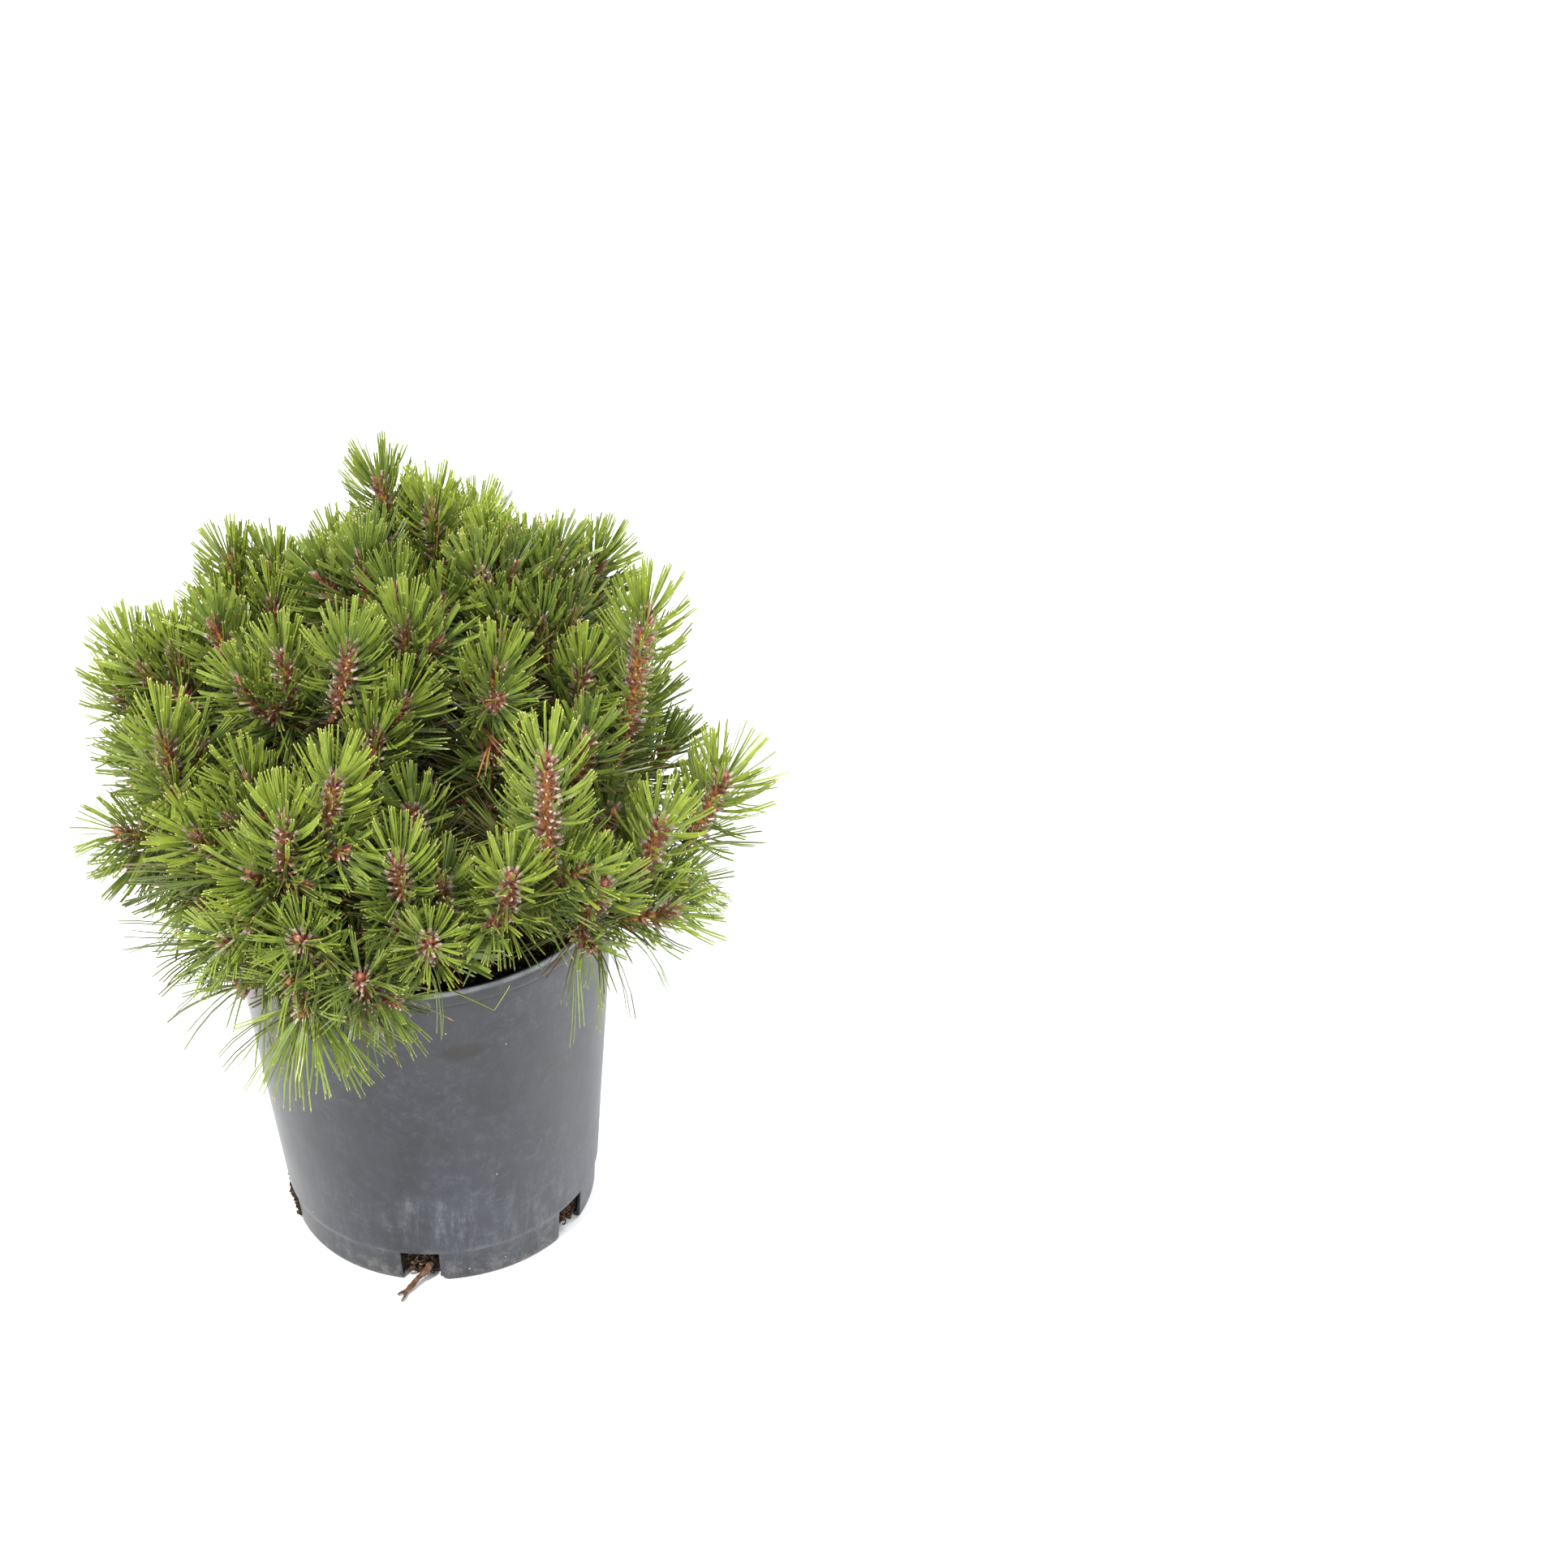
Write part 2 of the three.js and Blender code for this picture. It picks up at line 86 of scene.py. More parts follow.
class Nodes:
    """A few shorthands for building a material's node tree."""

    def __init__(self, name):
        self.mat = bpy.data.materials.new(name)
        self.mat.use_nodes = True
        self.t = self.mat.node_tree
        self.bsdf = self.t.nodes["Principled BSDF"]
        self.coord = self.t.nodes.new("ShaderNodeTexCoord")

    def new(self, kind, **props):
        n = self.t.nodes.new(kind)
        for k, v in props.items():
            setattr(n, k, v)
        return n

    def link(self, a, b):
        self.t.links.new(a, b)

    def noise(self, scale, detail=4, rough=0.6, stretch=None, distortion=0.0):
        n = self.new("ShaderNodeTexNoise")
        n.inputs["Scale"].default_value = scale
        n.inputs["Detail"].default_value = detail
        n.inputs["Roughness"].default_value = rough
        n.inputs["Distortion"].default_value = distortion
        if stretch:
            m = self.new("ShaderNodeMapping")
            m.inputs["Scale"].default_value = stretch
            self.link(self.coord.outputs["Object"], m.inputs["Vector"])
            self.link(m.outputs["Vector"], n.inputs["Vector"])
        else:
            self.link(self.coord.outputs["Object"], n.inputs["Vector"])
        return n.outputs["Fac"]

    def ramp(self, fac, stops, interpolation="LINEAR"):
        n = self.new("ShaderNodeValToRGB")
        n.color_ramp.interpolation = interpolation
        e = n.color_ramp.elements
        while len(e) < len(stops):
            e.new(0.5)
        for i, (at, c) in enumerate(stops):
            e[i].position = at
            e[i].color = c if len(c) == 4 else (*c, 1)
        self.link(fac, n.inputs["Fac"])
        return n.outputs["Color"]

    def mix(self, fac, a, b, mode="MIX"):
        n = self.new("ShaderNodeMix", data_type="RGBA", blend_type=mode)
        for value, socket in ((fac, n.inputs[0]), (a, n.inputs[6]), (b, n.inputs[7])):
            if hasattr(value, "node"):
                self.link(value, socket)
            else:
                socket.default_value = value
        return n.outputs[2]

    def map(self, fac, lo, hi, to_lo=0.0, to_hi=1.0):
        n = self.new("ShaderNodeMapRange")
        n.inputs["From Min"].default_value = lo
        n.inputs["From Max"].default_value = hi
        n.inputs["To Min"].default_value = to_lo
        n.inputs["To Max"].default_value = to_hi
        self.link(fac, n.inputs["Value"])
        return n.outputs["Result"]

    def math(self, op, a, b):
        n = self.new("ShaderNodeMath", operation=op)
        for value, socket in ((a, n.inputs[0]), (b, n.inputs[1])):
            if hasattr(value, "node"):
                self.link(value, socket)
            else:
                socket.default_value = value
        return n.outputs[0]

    def bump(self, height, strength, distance, below=None):
        n = self.new("ShaderNodeBump")
        n.inputs["Strength"].default_value = strength
        n.inputs["Distance"].default_value = distance
        self.link(height, n.inputs["Height"])
        if below is not None:
            self.link(below, n.inputs["Normal"])
        return n.outputs["Normal"]

    def finish(self, color, roughness, normal=None, specular=0.5, **sockets):
        for value, name in ((color, "Base Color"), (roughness, "Roughness"), (normal, "Normal")):
            if value is None:
                continue
            if hasattr(value, "node"):
                self.link(value, self.bsdf.inputs[name])
            else:
                self.bsdf.inputs[name].default_value = value
        self.bsdf.inputs["Specular IOR Level"].default_value = specular
        for k, v in sockets.items():
            self.bsdf.inputs[k.replace("_", " ")].default_value = v
        return self.mat


def vary(color, by):
    """A colour and its darker and lighter neighbours."""
    c = np.array(color[:3])
    return [(*(c * (1 - by)), 1), (*c, 1), (*np.minimum(c * (1 + by), 1), 1)]


def needle_material(name, color, roughness=0.38, by=0.16, specular=0.45):
    n = Nodes(name)
    lo, mid, hi = vary(color, by)
    fac = n.noise(160, 2, 0.5)
    col = n.ramp(fac, [(0.32, lo), (0.5, mid), (0.68, hi)])
    fine = n.noise(2600, 2, 0.5)
    rough = n.map(fine, 0.3, 0.7, roughness - 0.07, roughness + 0.1)
    return n.finish(col, rough, n.bump(fine, 0.15, 0.0001), specular)


# Lit and shaded copies of one needle colour: the tones from sunlit down to shaded are painted light and shade; old is
# the duller colour of older needles.
NEEDLE_TONES = {
    # name        body                    base                    blunt tip
    "sunlit": (srgb(137, 152, 56), srgb(122, 140, 58), srgb(194, 188, 112)),
    "fresh": (srgb(128, 144, 55), srgb(115, 133, 58), srgb(184, 178, 104)),
    "green": (srgb(114, 131, 52), srgb(102, 121, 56), srgb(174, 164, 96)),
    "shaded": (srgb(92, 108, 45), srgb(84, 101, 50), srgb(148, 140, 80)),
    "old": (srgb(98, 102, 50), srgb(104, 102, 60), srgb(154, 126, 76)),
}
NEEDLE_MATS = {
    tone: [needle_material(f"needle_{tone}_{part}", c) for part, c in zip(("body", "base", "tip"), colours)]
    for tone, colours in NEEDLE_TONES.items()
}
DRY_MATS = [
    needle_material("needle_dry_body", srgb(150, 102, 58), 0.6, 0.3, 0.25),
    needle_material("needle_dry_base", srgb(120, 66, 34), 0.6, 0.3, 0.25),
    needle_material("needle_dry_tip", srgb(176, 138, 90), 0.6, 0.3, 0.25),
]


def sheath_material(name, color, by, bump=0.5):
    n = Nodes(name)
    lo, mid, hi = vary(color, by)
    col = n.ramp(n.noise(700, 3, 0.6), [(0.3, lo), (0.5, mid), (0.7, hi)])
    return n.finish(col, 0.75, n.bump(n.noise(3000, 2), bump, 0.0002), 0.25)


SHEATH_MATS = [
    sheath_material("sheath_foot", srgb(156, 106, 86), 0.42),
    sheath_material("sheath_mouth", srgb(184, 167, 149), 0.24),
    sheath_material("sheath_old", srgb(112, 94, 78), 0.3),
]


def candle_material():
    n = Nodes("candle_bark")
    scales = n.noise(420, 5, 0.7, distortion=0.4)
    col = n.ramp(scales, [(0.28, srgb(116, 68, 35)), (0.45, srgb(162, 108, 51)), (0.6, srgb(192, 141, 64)), (0.75, srgb(206, 168, 102))])
    return n.finish(col, 0.55, n.bump(scales, 0.6, 0.0006), 0.4)


def twig_material():
    n = Nodes("twig_bark")
    scales = n.noise(300, 6, 0.7, distortion=0.6)
    blotch = n.noise(55, 3, 0.6)
    young = n.ramp(scales, [(0.3, srgb(62, 30, 20)), (0.5, srgb(122, 70, 42)), (0.72, srgb(162, 112, 74))])
    grey = n.ramp(scales, [(0.3, srgb(48, 36, 30)), (0.55, srgb(104, 86, 74)), (0.75, srgb(150, 136, 122))])
    col = n.mix(n.map(blotch, 0.42, 0.6), young, grey)
    return n.finish(col, 0.82, n.bump(scales, 0.9, 0.0009), 0.3)


def bough_material():
    n = Nodes("bough_bark")
    plates = n.noise(130, 7, 0.75, stretch=(1, 1, 0.6), distortion=0.9)
    blotch = n.noise(38, 4, 0.6)
    brown = n.ramp(plates, [(0.3, srgb(40, 26, 20)), (0.48, srgb(92, 62, 44)), (0.62, srgb(134, 100, 76)), (0.78, srgb(168, 140, 116))])
    grey = n.ramp(plates, [(0.3, srgb(34, 30, 27)), (0.5, srgb(92, 84, 76)), (0.75, srgb(146, 138, 128))])
    col = n.mix(n.map(blotch, 0.4, 0.62), brown, grey)
    return n.finish(col, 0.9, n.bump(plates, 1.0, 0.0016), 0.25)


def bud_material():
    n = Nodes("bud_scales")
    fine = n.noise(520, 4, 0.6)
    resin = n.noise(240, 3, 0.5)
    red = n.ramp(fine, [(0.3, srgb(112, 58, 44)), (0.5, srgb(172, 100, 78)), (0.7, srgb(202, 146, 120))])
    col = n.mix(n.map(resin, 0.57, 0.7), red, srgb(214, 196, 184))
    return n.finish(col, 0.5, n.bump(fine, 0.7, 0.0005), 0.45)


def root_material():
    n = Nodes("root_skin")
    f = n.noise(260, 5, 0.7)
    col = n.ramp(f, [(0.3, srgb(42, 29, 23)), (0.5, srgb(92, 66, 50)), (0.72, srgb(132, 106, 84))])
    return n.finish(col, 0.85, n.bump(f, 0.7, 0.0006), 0.25)


CANDLE, TWIG, BARK, BUD, ROOT = candle_material(), twig_material(), bough_material(), bud_material(), root_material()


# ------------------------------------------------------------ mesh helpers
def unit(v):
    v = np.asarray(v, float)
    return v / np.maximum(np.linalg.norm(v, axis=-1, keepdims=True), 1e-12)


def mesh_object(name, verts, tris, mats, which=None, smooth=False):
    mesh = bpy.data.meshes.new(name)
    verts = np.asarray(verts, np.float32).reshape(-1, 3)
    tris = np.asarray(tris, np.int32).reshape(-1, 3)
    mesh.vertices.add(len(verts))
    mesh.vertices.foreach_set("co", verts.ravel())
    mesh.loops.add(tris.size)
    mesh.loops.foreach_set("vertex_index", tris.ravel())
    mesh.polygons.add(len(tris))
    mesh.polygons.foreach_set("loop_start", np.arange(len(tris), dtype=np.int32) * 3)
    for m in mats:
        mesh.materials.append(m)
    if which is not None:
        mesh.polygons.foreach_set("material_index", np.asarray(which, np.int32))
    mesh.polygons.foreach_set("use_smooth", np.full(len(tris), smooth))
    mesh.update(calc_edges=True)
    mesh.validate()
    obj = bpy.data.objects.new(name, mesh)
    scene.collection.objects.link(obj)
    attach(obj, "root")
    return obj


def blades(start, way, bend, length, width, facing, rings, scale, capped=True):
    """Closed three-sided blades: verts (n, 3k+1, 3) and the triangles and part numbers of one."""
    start, way, bend, facing = (np.asarray(a, float) for a in (start, way, bend, facing))
    length, width = np.asarray(length, float)[:, None], np.asarray(width, float)[:, None]
    out = []
    for t, s in zip(rings, scale):
        at = start + length * (way * t + bend * t * t)
        along = unit(way + 2 * bend * t)
        side = unit(np.cross(along, facing))
        normal = np.cross(side, along)
        w, h = width * s * 0.5, width * s * 0.46
        out += [at - side * w, at + side * w, at + normal * h]
    out.append(start + length * (way + bend))
    k = len(rings)
    tris, part = [[0, 1, 2]], [1]
    for i in range(k - 1):
        for j in range(3):
            a, b, c, d = 3 * i + j, 3 * i + (j + 1) % 3, 3 * i + 3 + (j + 1) % 3, 3 * i + 3 + j
            tris += [[a, d, c], [a, c, b]]
            part += [1 if i == 0 else 0] * 2
    for j in range(3):
        tris.append([3 * (k - 1) + j, 3 * k, 3 * (k - 1) + (j + 1) % 3])
        part.append(2)
    return np.stack(out, 1), np.array(tris), np.array(part)


class Sprays:
    """Collects blades and turns them into joined pieces under a size limit."""

    def __init__(self, rings, scale):
        self.rings, self.scale, self.rows = rings, scale, []

    def add(self, start, way, bend, length, width, facing):
        n = len(start)
        self.rows.append(
            np.concatenate(
                [
                    np.asarray(start).reshape(n, 3),
                    np.asarray(way).reshape(n, 3),
                    np.asarray(bend).reshape(n, 3),
                    np.asarray(facing).reshape(n, 3),
                    np.broadcast_to(np.asarray(length, float), (n,))[:, None],
                    np.broadcast_to(np.asarray(width, float), (n,))[:, None],
                ],
                1,
            )
        )

    def build(self, name, mats, slot, most=190000):
        if not self.rows:
            return []
        r = np.concatenate(self.rows)
        v, tri, part = blades(r[:, 0:3], r[:, 3:6], r[:, 6:9], r[:, 12], r[:, 13], r[:, 9:12], self.rings, self.scale)
        per = max(1, most // len(tri))
        made = []
        pieces = math.ceil(len(v) / per)
        per = math.ceil(len(v) / pieces)
        for i in range(pieces):
            part_v = v[i * per : (i + 1) * per]
            n, k = part_v.shape[:2]
            tris = (tri[None] + (np.arange(n) * k)[:, None, None]).reshape(-1, 3)
            o = mesh_object(f"{name}_{i + 1}" if pieces > 1 else name, part_v.reshape(-1, 3), tris, mats, np.tile(part, n))
            made.append(o)
        return made


def frames(points):
    """Tangents and two steady side vectors along a polyline."""
    p = np.asarray(points, float)
    t = unit(np.gradient(p, axis=0))
    u = np.zeros_like(p)
    first = np.cross(t[0], [0.0, 0.0, 1.0])
    if np.linalg.norm(first) < 0.1:
        first = np.cross(t[0], [1.0, 0.0, 0.0])
    u[0] = unit(first)
    for i in range(1, len(p)):
        a = u[i - 1] - t[i] * (u[i - 1] @ t[i])
        u[i] = unit(a)
    return t, u, np.cross(t, u)


def tube(points, radii, sides, rough=0.0, seed=0.0, freq=260.0):
    """A closed tapering limb along points, its skin pushed in and out by noise."""
    p = np.asarray(points, float)
    t, u, v = frames(p)
    verts = []
    for i in range(len(p)):
        for j in range(sides):
            a = 2 * math.pi * j / sides
            d = u[i] * math.cos(a) + v[i] * math.sin(a)
            q = p[i] + d * radii[i]
            bump = noise.noise(Vector(q * freq) + Vector((seed, 0, 0))) if rough else 0.0
            verts.append(p[i] + d * radii[i] * (1 + rough * bump))
    verts += [p[0], p[-1]]
    a, b = len(verts) - 2, len(verts) - 1
    tris = []
    for i in range(len(p) - 1):
        for j in range(sides):
            k = (j + 1) % sides
            q0, q1, q2, q3 = i * sides + j, i * sides + k, (i + 1) * sides + k, (i + 1) * sides + j
            tris += [[q0, q1, q2], [q0, q2, q3]]
    last = (len(p) - 1) * sides
    for j in range(sides):
        k = (j + 1) % sides
        tris += [[a, k, j], [b, last + j, last + k]]
    return np.array(verts), np.array(tris)


class Joined:
    def __init__(self):
        self.v, self.t, self.n = [], [], 0

    def add(self, verts, tris):
        self.v.append(verts)
        self.t.append(np.asarray(tris) + self.n)
        self.n += len(verts)

    def build(self, name, mats, slot, smooth=True):
        o = mesh_object(name, np.concatenate(self.v), np.concatenate(self.t), mats, None, smooth)
        return o


def bezier(p0, p1, p2, p3, n):
    t = np.linspace(0, 1, n)[:, None]
    return (1 - t) ** 3 * p0 + 3 * (1 - t) ** 2 * t * p1 + 3 * (1 - t) * t * t * p2 + t**3 * p3


# ------------------------------------------------------------------ shoots
# This year's shoots that stand out in the crown. Each is told by the azimuth,
# reach and height (mm) of its bud, its lean from upright and the swing of that
# lean from straight outwards (degrees), its length, its needles' length (mm),
# and how sunlit it is: 0 brightest to 3.
LEADERS = [
    ( 145, 127, 426, 11,    0,  36, 31, 1),
    ( 137, 110, 421, 12,   12,  36, 31, 1),
    ( 151, 124, 402, 13,    4,  30, 34, 1),
    ( 149,  91, 413,  6,  -48,  30, 31, 1),
    ( 174, 133, 401,  4,  -64,  36, 36, 0),
    ( 172, 171, 368, 20,    7,  30, 34, 0),
    (-139,  79, 438,  5,   20,  43, 31, 1),
    (-150,  98, 418, 23,   -2,  39, 31, 1),
    ( 156,  48, 446, 26,   41,  36, 31, 2),
    ( 167, 169, 386, 18,    3,  30, 34, 0),
    (  99,  76, 478,  9,   60,  44, 32, 1),
    (  68,  54, 474,  4,   60,  52, 32, 0),
    ( 142,  22, 461,  2,    9,  30, 31, 2),
    (   6,  49, 456,  9, -173,  36, 32, 2),
    (  19,  90, 439,  2,  110,  30, 34, 2),
    (  -8,  63, 432,  6, -146,  30, 32, 2),
    (  -2,  83, 427,  5, -154,  30, 34, 2),
    ( -78,  50, 453,  4,   -3,  36, 36, 1),
    (-105,  74, 454, 10,   72,  54, 36, 1),
    ( -46,  91, 436, 13,   18,  37, 36, 1),
    ( -12,  31, 443, 26,    0,  30, 33, 2),
    ( -82,  76, 419, 30,   69,  30, 36, 1),
    ( -94,  87, 406, 13,   67,  30, 32, 1),
    ( -65,   4, 450,  3,  -99,  30, 34, 2),
    (  33,  66, 452,  6,  130,  30, 33, 1),
    (  26,  83, 445,  4,  120,  30, 33, 1),
    (  38, 146, 412, 29,  -30,  47, 34, 1),
    ( -12, 111, 408,  8,   -3,  36, 32, 1),
    (  -5, 147, 438,  9,   -1, 103, 36, 0),
    (-152, 147, 397,  5,   27,  51, 36, 0),
    (-157, 176, 329, 59,    6,  36, 32, 1),
    (-135, 156, 355, 37,  -20,  30, 36, 0),
    (-129, 141, 366, 28,  -19,  30, 32, 1),
    (-131, 124, 381, 15,  -19,  30, 34, 1),
    (-110, 155, 390,  5,   58,  48, 36, 0),
    (-119, 158, 348, 33,  -26,  30, 36, 1),
    (-118, 167, 321, 73,  -14,  30, 33, 1),
    (-122, 177, 308, 58,  -25,  30, 34, 1),
    (-100, 140, 411, 11,   78,  60, 36, 0),
    ( -83, 116, 375,  7,  -41,  30, 32, 2),
    ( -87, 155, 366,  7,   -9,  36, 36, 1),
    ( -78, 145, 342,  9,    6,  30, 32, 2),
    ( -65, 167, 351, 23,    0,  48, 36, 0),
    ( -55, 161, 418,  4,  -10,  90, 36, 0),
    ( -82, 177, 326, 40,    0,  44, 32, 1),
    ( -87, 158, 325, 39,    0,  34, 32, 2),
    ( -45,  80, 379,  8,  -17,  30, 32, 2),
    (  -7, 189, 327, 22,   -1,  53, 41, 0),
    ( -30, 176, 341, 17,   17,  45, 36, 0),
    ( -47, 176, 329, 26,    0,  48, 36, 1),
    ( -25, 179, 290, 63,    1,  30, 34, 2),
    ( -32, 186, 287, 65,   17,  41, 36, 1),
    ( -26, 137, 329, 24,    0,  40, 32, 2),
    ( -30, 128, 386, 11,   -6,  36, 32, 2),
    (-106, 177, 325, 40,    0,  46, 34, 1),
    (-108, 181, 297, 45,    0,  42, 34, 1),
    (-106, 180, 277,  96,   -4,  44, 46, 2),
    (-121, 171, 275,  82,  -24,  30, 42, 2),
    (-116, 171, 294, 56,  -19,  30, 32, 2),
    (-150, 142, 302, 46,    0,  30, 33, 2),
    (-140, 148, 296, 50,    0,  30, 33, 2),
    (-161, 140, 298, 50,    0,  30, 33, 2),
    (-102, 167, 304, 43,    0,  36, 32, 2),
    ( -95, 176, 301, 28,    0,  38, 33, 2),
]
rng = np.random.default_rng(20260711)


def polar(az, reach, height):
    return np.array([reach * math.cos(az * RAD), reach * math.sin(az * RAD), height]) * MM


def leaning(lean, bearing):
    return np.array([math.sin(lean * RAD) * math.cos(bearing * RAD), math.sin(lean * RAD) * math.sin(bearing * RAD), math.cos(lean * RAD)])


class Shoot:
    def __init__(self, bud, way, length, needle, tone, side=False):
        self.bud, self.way, self.length, self.needle, self.tone, self.side = bud, way, length, needle, tone, side
        self.leader = False
        self.radius = (0.0015 if side else 0.0019) + (0.0004 if length > 0.06 else 0.0)
        self.inner = False
        self.droop = 0.0
        out = unit([way[0], way[1], 0.0]) if math.hypot(way[0], way[1]) > 0.05 else np.array([0.0, 0.0, 0.0])
        # a shoot curves up: its foot points further outwards than its bud
        self.sag = (out * 0.5 - np.array([0, 0, 1]) * 0.35) * rng.uniform(0.05, 0.2)

    def at(self, s):
        """Point at s, 0 at the foot to 1 at the bud."""
        back = (1 - np.asarray(s, float))[..., None]
        return self.bud - self.length * (back * self.way + back**2 * self.sag)

    def along(self, s):
        back = (1 - np.asarray(s, float))[..., None]
        return unit(self.way + 2 * back * self.sag)


shoots = []
for az, reach, height, lean, swing, length, needle, tone in LEADERS:
    shoots.append(Shoot(polar(az, reach, height), leaning(lean, az + swing), length * MM, needle * MM, tone))

# The far side has no row of its own: its shoots are spread evenly over the
# crown's dome.
CENTRE = np.array([0, 0, 0.274])


def mass_boxes():
    out = []
    for n in MASSES:
        if n.startswith("foliage_rear"):
            lo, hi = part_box(n)
            out.append((np.array(lo), np.array(hi)))
    return out


for s in shoots:
    s.leader = True
    s.droop = float(np.interp(s.bud[2], [0.285, 0.32], [0.16, 0.0])) * (1.0 if s.bud[0] < 0 else 0.2)
buds = [s.bud for s in shoots]
tries = 0
REAR = mass_boxes()
while tries < 6000:
    tries += 1
    az = rng.uniform(2, 180)
    rise = math.asin(rng.uniform(0.12, 0.97)) / RAD
    lo_reach = 176 - 24 * max(0.0, math.cos(az * RAD)) ** 2
    reach = lo_reach * math.cos(rise * RAD) ** 0.75 + rng.uniform(-5, 7)
    height = 272 + 182 * math.sin(rise * RAD) + rng.uniform(-8, 10)
    # the dome is lower behind the left shoulder
    height -= 38 * math.exp(-(((az - 134) / 25) ** 2)) * float(np.interp(height, [330, 390], [0, 1]))
    if az > 150:
        reach -= 10
    bud = polar(az, reach, height)
    if min(np.linalg.norm(bud - b) for b in buds) < 0.036:
        continue
    lean = np.interp(rise, [5, 20, 40, 60, 80], [62, 40, 20, 11, 6]) + rng.normal(0, 5)
    buds.append(bud)
    # painted light: shoots high on the dome take a lighter tone
    tone = 1 if height > 400 else 2
    if rng.random() < 0.28:
        tone = max(0, tone - 1)
    shoots.append(Shoot(bud, leaning(lean, az + rng.normal(0, 14)), rng.uniform(36, 66) * MM, rng.uniform(34, 37) * MM, tone))
n_main = len(shoots)

# Side shoots: each main shoot's foot bears one to three shorter ones.
for m in shoots[:n_main]:
    for k in range(rng.integers(1, 4)):
        foot = m.at(rng.uniform(-0.25, 0.15))
        t = m.along(0.0)
        u = unit(np.cross(t, rng.normal(size=3)))
        spread = rng.uniform(38, 62) * RAD
        way = unit(t * math.cos(spread) + u * math.sin(spread) + np.array([0, 0, 0.25]))
        length = rng.uniform(26, 40) * MM
        bud = foot + way * length
        if bud[2] < 0.262 or math.hypot(bud[0], bud[1]) > 0.188:
            continue
        if min(np.linalg.norm(bud - b) for b in buds) < 0.021:
            continue
        buds.append(bud)
        # painted shade: a side shoot takes a darker tone than its main shoot
        s = Shoot(bud, way, length, rng.uniform(30, 34) * MM, min(3, m.tone + 1 + (rng.random() < 0.3)), True)
        shoots.append(s)

# The longest candle stands free: no side shoot crowds its stem.
FREE = np.concatenate([s.at(np.linspace(0.1, 1, 12)) for s in shoots if s.length > 0.1])
shoots = [s for s in shoots if not s.side or np.linalg.norm(FREE - s.bud, axis=1).min() > 0.032]

# -------------------------------------------------------- twigs and boughs
FORK = np.array([0.0, 0.0, 0.262])


def centreline(node, bins=9):
    """The middle of a CAD limb from the stem outwards."""
    me = NODES[node].data
    v = np.empty(len(me.vertices) * 3)
    me.vertices.foreach_get("co", v)
    v = v.reshape(-1, 3)
    v = v @ np.array(NODES[node].matrix_world.to_3x3()).T + np.array(NODES[node].matrix_world.translation)
    foot = np.array([0.0, 0.0, v[:, 2].min() if node != "bough_leader" else v[:, 2].min()])
    d = np.linalg.norm(v - foot, axis=1)
    edges = np.linspace(d.min(), d.max() + 1e-6, bins + 1)
    pts = []
    for i in range(bins):
        got = v[(d >= edges[i]) & (d < edges[i + 1])]
        if len(got) >= 5:
            pts.append((got.min(0) + got.max(0)) / 2)
    return np.array(pts)


class Skeleton:
    def __init__(self):
        self.p, self.d, self.path = [], [], []

    def add(self, points, start):
        t = unit(np.gradient(points, axis=0))
        step = np.r_[0, np.cumsum(np.linalg.norm(np.diff(points, axis=0), axis=1))]
        self.p += list(points)
        self.d += list(t)
        self.path += list(start + step)


bone = Skeleton()
for b in BOUGHS:
    line = centreline(b)
    bone.add(line, np.linalg.norm(line[0] - FORK))

twigs = []
order = sorted(range(len(shoots)), key=lambda i: (shoots[i].side, np.linalg.norm(shoots[i].at(0.0) - FORK)))
for i in order:
    s = shoots[i]
    foot, toward = s.at(0.0), s.along(0.0)
    P, D, L = np.array(bone.p), np.array(bone.d), np.array(bone.path)
    gap = foot - P
    dist = np.linalg.norm(gap, axis=1)
    face = (gap @ toward) / np.maximum(dist, 1e-6)
    cost = dist + 0.3 * L + 0.05 * (1 - face) + np.where(dist < 0.006, 0.05, 0)
    k = int(np.argmin(cost))
    q, qd = P[k], D[k]
    reach = dist[k]
    leave = unit(qd * 0.7 + unit(gap[k]) * 0.9)
    n = max(5, int(reach / 0.004))
    line = bezier(q, q + leave * reach * 0.35, foot - toward * reach * 0.4, foot, n)
    wob = np.array([[noise.noise(Vector(p * 60) + Vector((7 * a, 0, 0))) for a in range(3)] for p in line])
    line = line + wob * 0.0025 * np.sin(np.linspace(0, math.pi, n))[:, None]
    bone.add(line[2:], L[k] + 0.006)
    twigs.append((line, s))

# Weak old twigs fill the inside of the crown.
for k in range(84):
    P, D = np.array(bone.p), np.array(bone.d)
    room = np.nonzero((np.hypot(P[:, 0], P[:, 1]) < 0.135) & (P[:, 2] > 0.262) & (P[:, 2] < 0.38))[0]
    j = room[rng.integers(len(room))]
    if k < 30:
        goal = np.array([rng.uniform(-0.04, 0.12), rng.uniform(-0.02, 0.13), rng.uniform(0.27, 0.31)])
        j = room[np.argmin(np.linalg.norm(P[room] - goal, axis=1))]
    way = unit(D[j] * 0.5 + rng.normal(size=3) * np.array([1, 1, 0.5]) + np.array([0, 0, 0.2]))
    end = P[j] + way * rng.uniform(0.022, 0.04)
    if end[2] < 0.25 or math.hypot(end[0], end[1]) > 0.15:
        continue
    line = bezier(P[j], P[j] + way * 0.01, end - np.array([0, 0, 0.008]), end, 8)
    weak = Shoot(end, way, 0.03, 0.036, 2, True)
    weak.inner = True
    twigs.append((line, weak))

